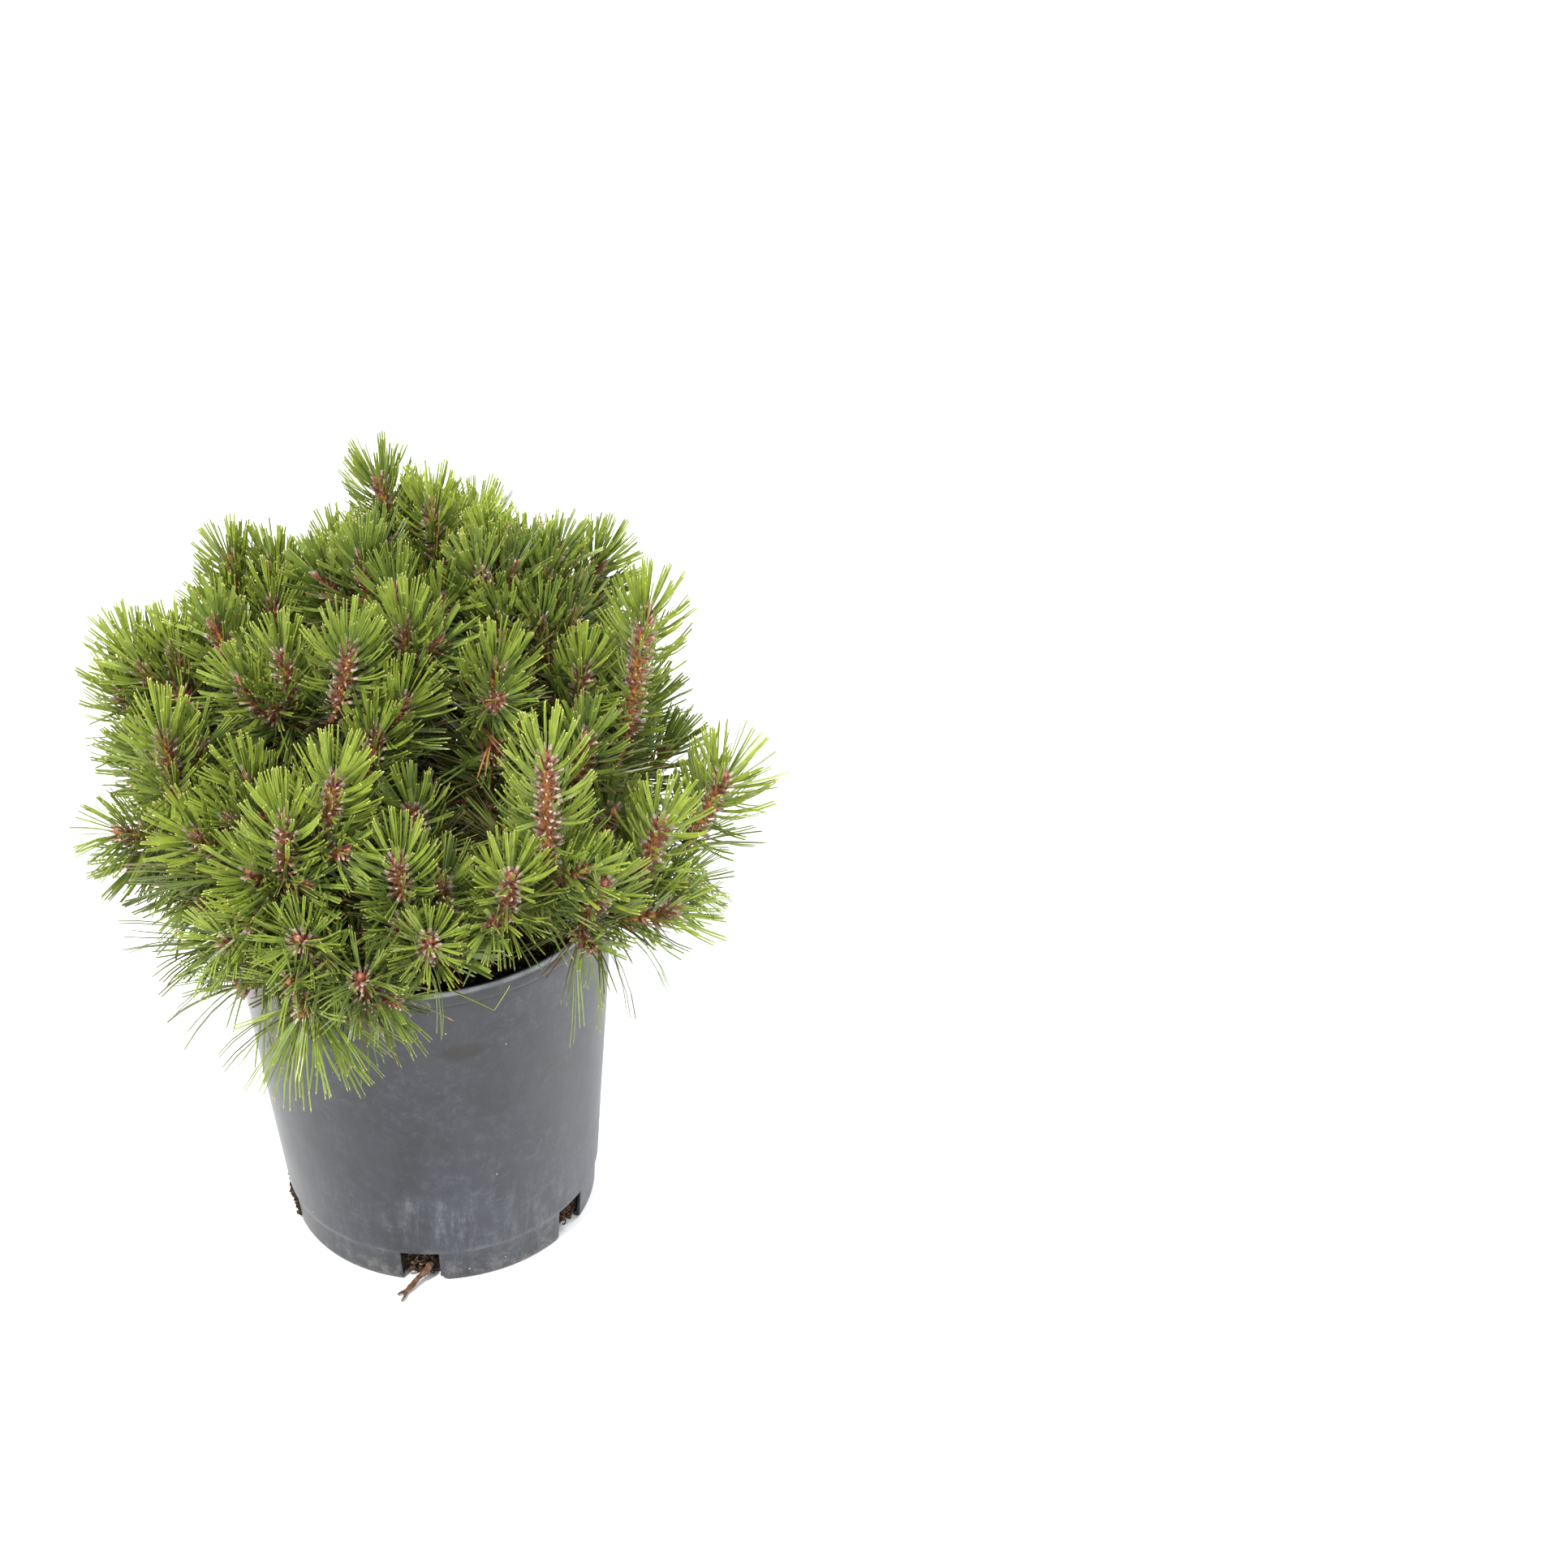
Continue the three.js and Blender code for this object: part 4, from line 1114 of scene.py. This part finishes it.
def plastic_material():
    n = Nodes("pot_plastic")
    xyz = n.new("ShaderNodeSeparateXYZ")
    n.link(n.coord.outputs["Object"], xyz.inputs[0])
    x, y, z = (xyz.outputs[k] for k in "XYZ")
    reach = n.math("SQRT", n.math("ADD", n.math("MULTIPLY", x, x), n.math("MULTIPLY", y, y)), 0)
    cloud = n.noise(11, 6, 0.66, distortion=0.5)
    haze = n.noise(26, 8, 0.78, stretch=(1, 1, 0.55), distortion=0.6)
    fine = n.noise(130, 7, 0.8)
    drag = n.noise(120, 6, 0.7, stretch=(1, 1, 0.14))
    smear = n.noise(12, 4, 0.6, stretch=(0.8, 0.8, 3.0), distortion=1.2)
    base = n.ramp(cloud, [(0.3, srgb(23, 25, 31)), (0.5, srgb(31, 33, 41)), (0.7, srgb(40, 43, 53))])
    # painted shade: the upper wall is darkened towards the rim, where the crown's shadow falls
    base = n.mix(n.map(z, 0.1, 0.22, 0.0, 0.42), base, srgb(30, 31, 35))
    # dark smears on the upper wall, then a bluish bloom
    high = n.map(z, 0.1, 0.16)
    col = n.mix(n.math("MULTIPLY", n.map(smear, 0.56, 0.62, 0, 0.75), high), base, srgb(24, 24, 25))
    col = n.mix(n.map(haze, 0.46, 0.7, 0, 0.34), col, srgb(64, 68, 79))
    col = n.mix(n.math("MULTIPLY", n.map(fine, 0.5, 0.68, 0, 0.4), n.map(cloud, 0.35, 0.6)), col, srgb(84, 87, 95))
    # dust towards the foot, in faint upright scratches, thickest in front
    low = n.map(z, 0.078, 0.02, 0.0, 1.0)
    patch = n.map(n.noise(17, 3, 0.5), 0.42, 0.62, 0.15, 1.0)
    dusty = n.math("MULTIPLY", n.math("MULTIPLY", n.map(drag, 0.45, 0.66), low), patch)
    dusty = n.math("MULTIPLY", dusty, n.map(fine, 0.36, 0.6, 0.25, 1.0))
    col = n.mix(n.math("MULTIPLY", dusty, 0.6), col, srgb(122, 125, 134))
    dirt = n.math("MULTIPLY", n.map(n.noise(70, 8, 0.85), 0.5, 0.64), n.map(z, 0.036, 0.004, 0.0, 0.55))
    col = n.mix(dirt, col, srgb(126, 120, 110))
    # a dark brownish smudge under the rim, and a scratched dusty patch above the foot
    def spot(at_x, at_z, wide, high, wander):
        a = n.math("MULTIPLY", n.math("SUBTRACT", x, at_x), 1 / wide)
        b = n.math("MULTIPLY", n.math("SUBTRACT", z, at_z), 1 / high)
        d = n.math("SQRT", n.math("ADD", n.math("MULTIPLY", a, a), n.math("MULTIPLY", b, b)), 0)
        d = n.math("ADD", d, n.map(wander, 0.3, 0.7, -0.35, 0.35))
        return n.math("MULTIPLY", n.map(d, 1.1, 0.65), n.map(y, 0.0, -0.02))

    col = n.mix(n.math("MULTIPLY", spot(0.0285, 0.1947, 0.016, 0.007, smear), 0.9), col, srgb(22, 18, 15))
    patchy = n.math("MULTIPLY", spot(0.004, 0.054, 0.034, 0.024, haze), n.math("MULTIPLY", n.map(drag, 0.44, 0.66), n.map(fine, 0.4, 0.6, 0.2, 1.0)))
    col = n.mix(n.math("MULTIPLY", patchy, 0.5), col, srgb(122, 124, 130))
    # a dusty ledge where the foot steps in
    ridge = n.math("MULTIPLY", n.map(z, 0.0225, 0.0245), n.map(z, 0.0285, 0.0255))
    col = n.mix(n.math("MULTIPLY", ridge, n.map(n.noise(60, 4), 0.46, 0.68, 0.0, 0.22)), col, srgb(118, 120, 124))
    # the rim: painted shade on its top, a painted highlight with some wear along its outer edge, and a painted shade
    # line under it
    top = n.math("MULTIPLY", n.map(z, 0.2422, 0.2434), n.map(reach, 0.1184, 0.1177))
    col = n.mix(n.math("MULTIPLY", top, 0.85), col, srgb(20, 20, 23))
    lip_highlight_and_wear = n.math("MULTIPLY", n.map(z, 0.2408, 0.2426), n.map(reach, 0.1176, 0.1188))
    lip_highlight_and_wear = n.math("MULTIPLY", lip_highlight_and_wear, n.map(n.noise(30, 4), 0.36, 0.6, 0.35, 1.0))
    col = n.mix(n.math("MULTIPLY", lip_highlight_and_wear, 0.85), col, srgb(168, 170, 176))
    # painted shade: a dark line under the rim band
    under = n.math("MULTIPLY", n.map(z, 0.2292, 0.2332), n.map(z, 0.2354, 0.2341))
    col = n.mix(n.math("MULTIPLY", under, 0.8), col, srgb(12, 12, 14))
    # a few short scratches, and pale specks
    scratch = n.noise(75, 2, 0.5, stretch=(0.5, 0.5, 10))
    worn = n.math("MULTIPLY", n.map(scratch, 0.72, 0.75), n.map(n.noise(13, 2), 0.56, 0.64, 0, 0.35))
    col = n.mix(worn, col, srgb(120, 122, 130))
    v = n.new("ShaderNodeTexVoronoi")
    v.inputs["Scale"].default_value = 90
    n.link(n.coord.outputs["Object"], v.inputs["Vector"])
    bright = n.new("ShaderNodeSeparateColor")
    n.link(v.outputs["Color"], bright.inputs[0])
    speck = n.math("MULTIPLY", n.map(v.outputs["Distance"], 0.05, 0.03), n.map(bright.outputs[0], 0.88, 0.9))
    col = n.mix(n.math("MULTIPLY", speck, 0.8), col, srgb(205, 205, 200))
    grain = n.noise(1500, 3, 0.6)
    rough = n.math("ADD", n.map(cloud, 0.3, 0.7, 0.28, 0.38), n.math("MULTIPLY", dusty, 0.3))
    normal = n.bump(grain, 0.1, 0.0002)
    normal = n.bump(haze, 0.25, 0.0008, normal)
    return n.finish(col, rough, normal, 0.5)


def can():
    profile = [(0.0, 0.0), (0.03, 0.0), (0.06, 0.0), (SLOT_REACH, 0.0), (cone(0) - FOOT_INSET - 0.0014, 0.0)]
    profile += [(cone(0) - FOOT_INSET - 0.0004, 0.0004), (cone(0.0014) - FOOT_INSET, 0.0014)]
    profile += [(cone(z) - FOOT_INSET, z) for z in (0.004, 0.008, 0.012, 0.016, 0.02, 0.0232)]
    first_out = 3
    top_out = len(profile)
    profile += [(cone(FOOT_H) - FOOT_INSET * 0.8, FOOT_H), (cone(0.0246) - 0.0002, 0.0246), (cone(0.0254), 0.0254), (cone(0.027), 0.027)]
    profile += [(cone(z), z) for z in np.linspace(0.033, 0.2295, 26)]
    r = CAN_H - RIM_BAND
    profile += [(cone(r - 0.0022) - 0.0001, r - 0.0022), (cone(r - 0.001) - 0.0002, r - 0.001), (0.1196, r - 0.0003), (0.1201, r + 0.0004), (0.1203, r + 0.0016)]
    profile += [(0.1204, r + 0.005), (0.1203, CAN_H - 0.0022), (0.12, CAN_H - 0.0009), (0.1192, CAN_H - 0.0001), (0.1184, CAN_H), (0.117, CAN_H - 0.0004), (0.1156, CAN_H - 0.0009), (0.1148, CAN_H - 0.002), (0.1147, CAN_H - 0.004), (0.115, CAN_H - 0.008)]
    profile += [(cone(z) - WALL, z) for z in np.linspace(r - 0.004, 0.03, 10)]
    top_in = len(profile)
    profile += [(cone(FOOT_H) - FOOT_INSET - WALL, FOOT_H), (cone(0.012) - FOOT_INSET - WALL, 0.012), (cone(0.0035) - FOOT_INSET - WALL, 0.0035), (SLOT_REACH, 0.0025)]
    last_in = len(profile) - 1
    profile += [(0.05, 0.0025), (0.0, 0.0025)]
    m = len(profile)
    walls, gaps = 44, 8
    cols = []
    for i, c0 in enumerate(SLOTS):
        c1 = SLOTS[i + 1] if i + 1 < len(SLOTS) else SLOTS[0] + 360
        cols += [(c0, c0, -1 + 2 * k / gaps, 0.0, True) for k in range(gaps)]
        cols += [(c0, c1, 1.0, k / walls, False) for k in range(walls)]
    verts, index = [], {}

    def angle(col, radius):
        c0, c1, share, t, slot = cols[col % len(cols)]
        half = math.asin(SLOT_HALF / max(radius, 0.03)) if radius > 0.02 else 0.12
        if slot:
            return c0 * RAD + half * share
        return (c0 * RAD + half) * (1 - t) + (c1 * RAD - half) * t

    N = len(cols)
    for j, (radius, z) in enumerate(profile):
        if radius == 0:
            index[(j, 0)] = len(verts)
            for k in range(N):
                index[(j, k)] = index[(j, 0)]
            verts.append((0, 0, z))
            continue
        for k in range(N):
            a = angle(k, radius)
            rr, zz = radius, z
            if z > 0.0265:
                fade = min(1, (z - 0.0265) / 0.05)
                wob = noise.noise(Vector((math.cos(a) * 1.3, math.sin(a) * 1.3, z * 9))) * 0.0005
                wob += 0.00035 * math.cos(2 * a + 0.7)
                rr += wob * fade
            # a bite out of the foot beside the front slot
            if z < 0.003 and 3 < j < 8:
                d = (a / RAD - (SLOTS[0] + 6.9)) * RAD * 0.0963
                if -0.0001 <= d < 0.0045:
                    zz = z + 0.0034 * (1 - d / 0.0045)
            index[(j, k)] = len(verts)
            verts.append((rr * math.cos(a), rr * math.sin(a), zz))
    faces = []

    def cut(j, k):
        return cols[k % N][4] and (first_out <= j < top_out or top_in <= j < last_in)

    for j in range(m - 1):
        for k in range(N):
            if cut(j, k):
                continue
            q = [index[(j, k)], index[(j, (k + 1) % N)], index[(j + 1, (k + 1) % N)], index[(j + 1, k)]]
            q = [x for i, x in enumerate(q) if x != q[i - 1]]
            if len(q) >= 3:
                faces.append(q)
    for k in range(N):
        if not cols[k][4]:
            continue
        n = (k + 1) % N
        faces.append([index[(top_out, k)], index[(top_out, n)], index[(top_in, n)], index[(top_in, k)]][::-1])
        faces.append([index[(first_out, k)], index[(first_out, n)], index[(last_in, n)], index[(last_in, k)]])
    for i in range(len(SLOTS)):
        k0 = i * (walls + gaps)
        outer = list(range(first_out, top_out + 1))
        inner = list(range(top_in, last_in + 1))
        ring = outer + inner
        faces.append([index[(j, k0)] for j in ring][::-1])
        faces.append([index[(j, k0 + gaps)] for j in ring])
    bm = bmesh.new()
    bv = [bm.verts.new(v) for v in verts]
    for f in faces:
        bm.faces.new([bv[i] for i in f])
    bmesh.ops.recalc_face_normals(bm, faces=bm.faces)
    sharp = [e for e in bm.edges if e.is_manifold and e.calc_face_angle() > 0.9 and max(v.co.z for v in e.verts) < 0.0245 and min(math.hypot(v.co.x, v.co.y) for v in e.verts) > 0.09]
    bmesh.ops.bevel(bm, geom=sharp, offset=0.00035, segments=1, affect="EDGES", profile=0.5)
    for f in bm.faces:
        f.smooth = True
    for e in bm.edges:
        e.smooth = not (e.is_manifold and e.calc_face_angle() > 0.6)
    bmesh.ops.triangulate(bm, faces=bm.faces)
    mesh = bpy.data.meshes.new("can")
    bm.to_mesh(mesh)
    bm.free()
    mesh.materials.append(plastic_material())
    obj = bpy.data.objects.new("can", mesh)
    scene.collection.objects.link(obj)
    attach(obj, "root")
    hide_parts("pot")


can()


# ------------------------------------------------------------ potting mix
def mix_material():
    n = Nodes("potting_mix")
    lump = n.noise(170, 8, 0.75)
    fibre = n.noise(420, 5, 0.7, stretch=(1, 0.3, 1), distortion=1.2)
    col = n.ramp(lump, [(0.3, srgb(18, 14, 12)), (0.5, srgb(37, 30, 24)), (0.68, srgb(60, 49, 40)), (0.8, srgb(92, 77, 62))])
    col = n.mix(n.map(fibre, 0.6, 0.72, 0, 0.6), col, srgb(98, 76, 56))
    fleck = n.map(n.noise(560, 4, 0.75, stretch=(1, 1, 0.6), distortion=1.0), 0.66, 0.71)
    col = n.mix(fleck, col, srgb(176, 156, 132))
    return n.finish(col, 0.95, n.bump(lump, 1.0, 0.002), 0.2)


def chip_material():
    n = Nodes("mix_chips")
    f = n.noise(300, 4, 0.6)
    col = n.ramp(f, [(0.35, srgb(34, 26, 21)), (0.5, srgb(70, 52, 40)), (0.62, srgb(118, 92, 68)), (0.75, srgb(186, 162, 132))])
    return n.finish(col, 0.85, n.bump(f, 0.8, 0.0008), 0.25)


def mix_top(x, y):
    r = math.hypot(x, y)
    h = 0.2262
    h += 0.0022 * noise.noise(Vector((x * 28, y * 28, 3))) + 0.0017 * noise.noise(Vector((x * 90, y * 90, 7)))
    h += 0.0013 * noise.noise(Vector((x * 260, y * 260, 1)))
    if r > 0.104:
        h -= (r - 0.104) * 0.22
    return h


def potting_mix():
    N = 264
    prof = [(0.0, 0.003), (0.06, 0.003), (0.0925, 0.003)]
    levels = list(np.arange(0.0042, 0.0275, 0.0012)) + [0.03, 0.04, 0.09, 0.15, 0.2, 0.217]
    prof += [(None, z) for z in levels]
    top = list(np.linspace(0.1155, 0.004, 38))
    verts, rows = [(0, 0, 0.003)], []
    for r, z in prof[1:]:
        row = []
        for k in range(N):
            a = 2 * math.pi * k / N
            near = min(SLOTS, key=lambda c: abs((a / RAD - c + 180) % 360 - 180))
            away = (a / RAD - near + 180) % 360 - 180
            rr = r if r is not None else cone(z) - WALL - 0.0004 - (FOOT_INSET if z < 0.0255 else 0)
            zz = z
            p = Vector((math.cos(a) * 0.09, math.sin(a) * 0.09, z))
            # it has washed out of every slot but the last, where it bulges
            bulge = SLOTS[4] == near
            wide, soft = (6.7, 1.0) if bulge else (8.2, 1.4)
            if z < 0.0275 - (0.004 if bulge else 0) and abs(away) < wide:
                edge = min(1.0, (wide - abs(away)) / soft)
                depth = 0.9 + noise.noise(p * 260) + 0.6 * noise.noise(p * 600)
                sunk = 0.0028 + 0.0016 * depth if not bulge else 0.0021 * depth + 0.0012 * noise.noise(p * 1100) - 0.0052
                rr = rr - edge * sunk
            row.append(len(verts))
            verts.append((rr * math.cos(a), rr * math.sin(a), zz))
        rows.append(row)
    for r in top:
        row = []
        for k in range(N):
            a = 2 * math.pi * k / N
            x, y = r * math.cos(a), r * math.sin(a)
            row.append(len(verts))
            verts.append((x, y, mix_top(x, y)))
        rows.append(row)
    hub = len(verts)
    verts.append((0, 0, mix_top(0, 0)))
    tris = []
    for k in range(N):
        n = (k + 1) % N
        tris.append((0, rows[0][n], rows[0][k]))
        for i in range(len(rows) - 1):
            a, b, c, d = rows[i][k], rows[i][n], rows[i + 1][n], rows[i + 1][k]
            tris += [(a, b, c), (a, c, d)]
        tris.append((rows[-1][k], rows[-1][n], hub))
    o = mesh_object("potting_mix", verts, tris, [mix_material()], None, True)
    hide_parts("root_ball")

    chips = Joined()
    dice = np.random.default_rng(77)
    cube = np.array([[x, y, z] for x in (-1, 1) for y in (-1, 1) for z in (-1, 1)], float)
    box = [(0, 1, 3), (0, 3, 2), (4, 6, 7), (4, 7, 5), (0, 4, 5), (0, 5, 1), (2, 3, 7), (2, 7, 6), (0, 2, 6), (0, 6, 4), (1, 5, 7), (1, 7, 3)]
    for i in range(640):
        size = dice.uniform(0.4, 1.0, 3) * np.array([0.0042, 0.0022, 0.0011]) * dice.uniform(0.5, 1.5)
        q = cube * (1 + dice.uniform(-0.35, 0.35, (8, 3))) * size
        axis = unit(dice.normal(size=3))
        turn = Matrix.Rotation(dice.uniform(0, 6.28), 3, Vector(axis)) if i % 3 == 0 else Matrix.Rotation(dice.uniform(0, 6.28), 3, "Z")
        q = q @ np.array(turn).T
        if i < 500:
            r, a = 0.112 * math.sqrt(dice.random()), dice.uniform(0, 6.28)
            if r < 0.018:
                r += 0.02
            x, y = r * math.cos(a), r * math.sin(a)
            at = np.array([x, y, mix_top(x, y) + 0.0006])
        else:
            a = (SLOTS[dice.integers(len(SLOTS))] + dice.uniform(-5.5, 5.5)) * RAD
            full = abs(a / RAD - SLOTS[4]) < 6
            r = dice.uniform(0.0905, 0.0938) + (0.0054 if full else 0.0)
            q = q * 0.4
            at = np.array([r * math.cos(a), r * math.sin(a), dice.uniform(0.0022, 0.0215)])
        chips.add(q + at, box)
    for i in range(70):
        a = (SLOTS[i % len(SLOTS)] + dice.uniform(-5, 5)) * RAD
        r = 0.0912 + (0.0052 if i % len(SLOTS) == 4 else 0.0)
        p0 = np.array([r * math.cos(a), r * math.sin(a), dice.uniform(0.003, 0.021)])
        tang = np.array([-math.sin(a), math.cos(a), 0])
        out = np.array([math.cos(a), math.sin(a), 0])
        end = p0 + tang * dice.uniform(-0.006, 0.006) + out * dice.uniform(0.0005, 0.003) + np.array([0, 0, dice.uniform(-0.006, 0.006)])
        end[2] = min(max(end[2], 0.0015), 0.0225)
        lines = bezier(p0 - out * 0.002, p0 + out * 0.0022, end + out * 0.001, end - out * 0.002, 7)
        chips.add(*tube(lines, np.full(7, dice.uniform(0.00025, 0.0006)), 5, 0.2, 5.0, 700))
    piece = chips.build("mix_chips", [chip_material()], "potting_mix", False)
    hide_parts("root_ball")


potting_mix()


def stray_root():
    a = SLOTS[0] * RAD

    def out(reach, drift, z):
        return np.array([reach * math.cos(a) + drift * math.sin(a), reach * math.sin(a) - drift * math.cos(a), z]) * MM

    def through(points, n):
        p = np.array(points)
        t = np.linspace(0, len(p) - 1, n)
        q = np.stack([np.interp(t, range(len(p)), p[:, k]) for k in range(3)], 1)
        for _ in range(n // 5):
            q[1:-1] = (q[:-2] + 2 * q[1:-1] + q[2:]) / 4
        return q

    root = Joined()
    trunk = through([out(90.8, -5.2, 9.8), out(95.6, -3.7, 8.4), out(98.7, 0.8, 5.8), out(108.2, 6.8, 2.6)], 40)
    knots = 1 + 0.22 * np.exp(-(((np.linspace(0, 1, 40) - 0.93) / 0.05) ** 2)) + 0.1 * np.exp(-(((np.linspace(0, 1, 40) - 0.45) / 0.06) ** 2))
    root.add(*tube(trunk, np.linspace(0.0024, 0.0015, 40) * knots, 14, 0.3, 2.0, 500))
    fork = through([out(106.9, 5.9, 2.6), out(109.6, 9.4, 2.2), out(110.6, 11.2, 2.2), out(112.2, 12.9, 1.6)], 18)
    root.add(*tube(fork, np.linspace(0.0013, 0.0005, 18), 10, 0.25, 4.0, 600))
    fork = through([out(106.9, 5.9, 2.6), out(111.8, 8.4, 2.2), out(114.6, 8.2, 2.3), out(117.7, 9.7, 1.5)], 18)
    root.add(*tube(fork, np.linspace(0.0013, 0.0005, 18), 10, 0.25, 9.0, 600))
    piece = root.build("stray_root_skin", [ROOT], "root")
    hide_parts("stray_root")


stray_root()


# -------------------------------------------------------------- the floor
def floor():
    bm = bmesh.new()
    bmesh.ops.create_grid(bm, x_segments=2, y_segments=2, size=9)
    mesh = bpy.data.meshes.new("floor")
    bm.to_mesh(mesh)
    bm.free()
    obj = bpy.data.objects.new("floor", mesh)
    obj.location = (0, 0, -0.0002)
    n = Nodes("floor_paper")
    tone = n.ramp(n.noise(3, 2), [(0.3, (0.86, 0.86, 0.86, 1)), (0.7, (0.88, 0.88, 0.88, 1))])
    mesh.materials.append(n.finish(tone, 0.9, None, 0.1))
    scene.collection.objects.link(obj)


floor()


def area(name, at, target, size, power, color=(1, 1, 1)):
    d = bpy.data.lights.new(name, "AREA")
    d.shape = "DISK"
    d.size = size
    d.energy = power
    d.color = color
    o = bpy.data.objects.new(name, d)
    o.location = at
    o.rotation_euler = (Vector(target) - Vector(at)).to_track_quat("-Z", "Y").to_euler()
    scene.collection.objects.link(o)


area("key", (-1.1, -1.7, 3.1), (0, 0, 0.3), 0.6, 158, (1.0, 0.985, 0.95))
area("fill", (2.4, -1.6, 1.5), (0, 0, 0.3), 2.0, 40, (0.95, 0.98, 1.0))
area("back", (-0.5, 2.6, 2.2), (0, 0, 0.35), 1.8, 45)
area("edge", (1.7, 1.2, 2.4), (0.45, 0.2, 0.0), 1.2, 60)
world = bpy.data.worlds.new("world")
world.use_nodes = True
world.node_tree.nodes["Background"].inputs["Color"].default_value = (0.95, 0.98, 1.0, 1)
world.node_tree.nodes["Background"].inputs["Strength"].default_value = 0.9
scene.world = world
print("shoots", n_main, len(shoots), "twig nodes", len(bone.p))
scene.view_settings.view_transform = "Standard"
scene.view_settings.look = "None"
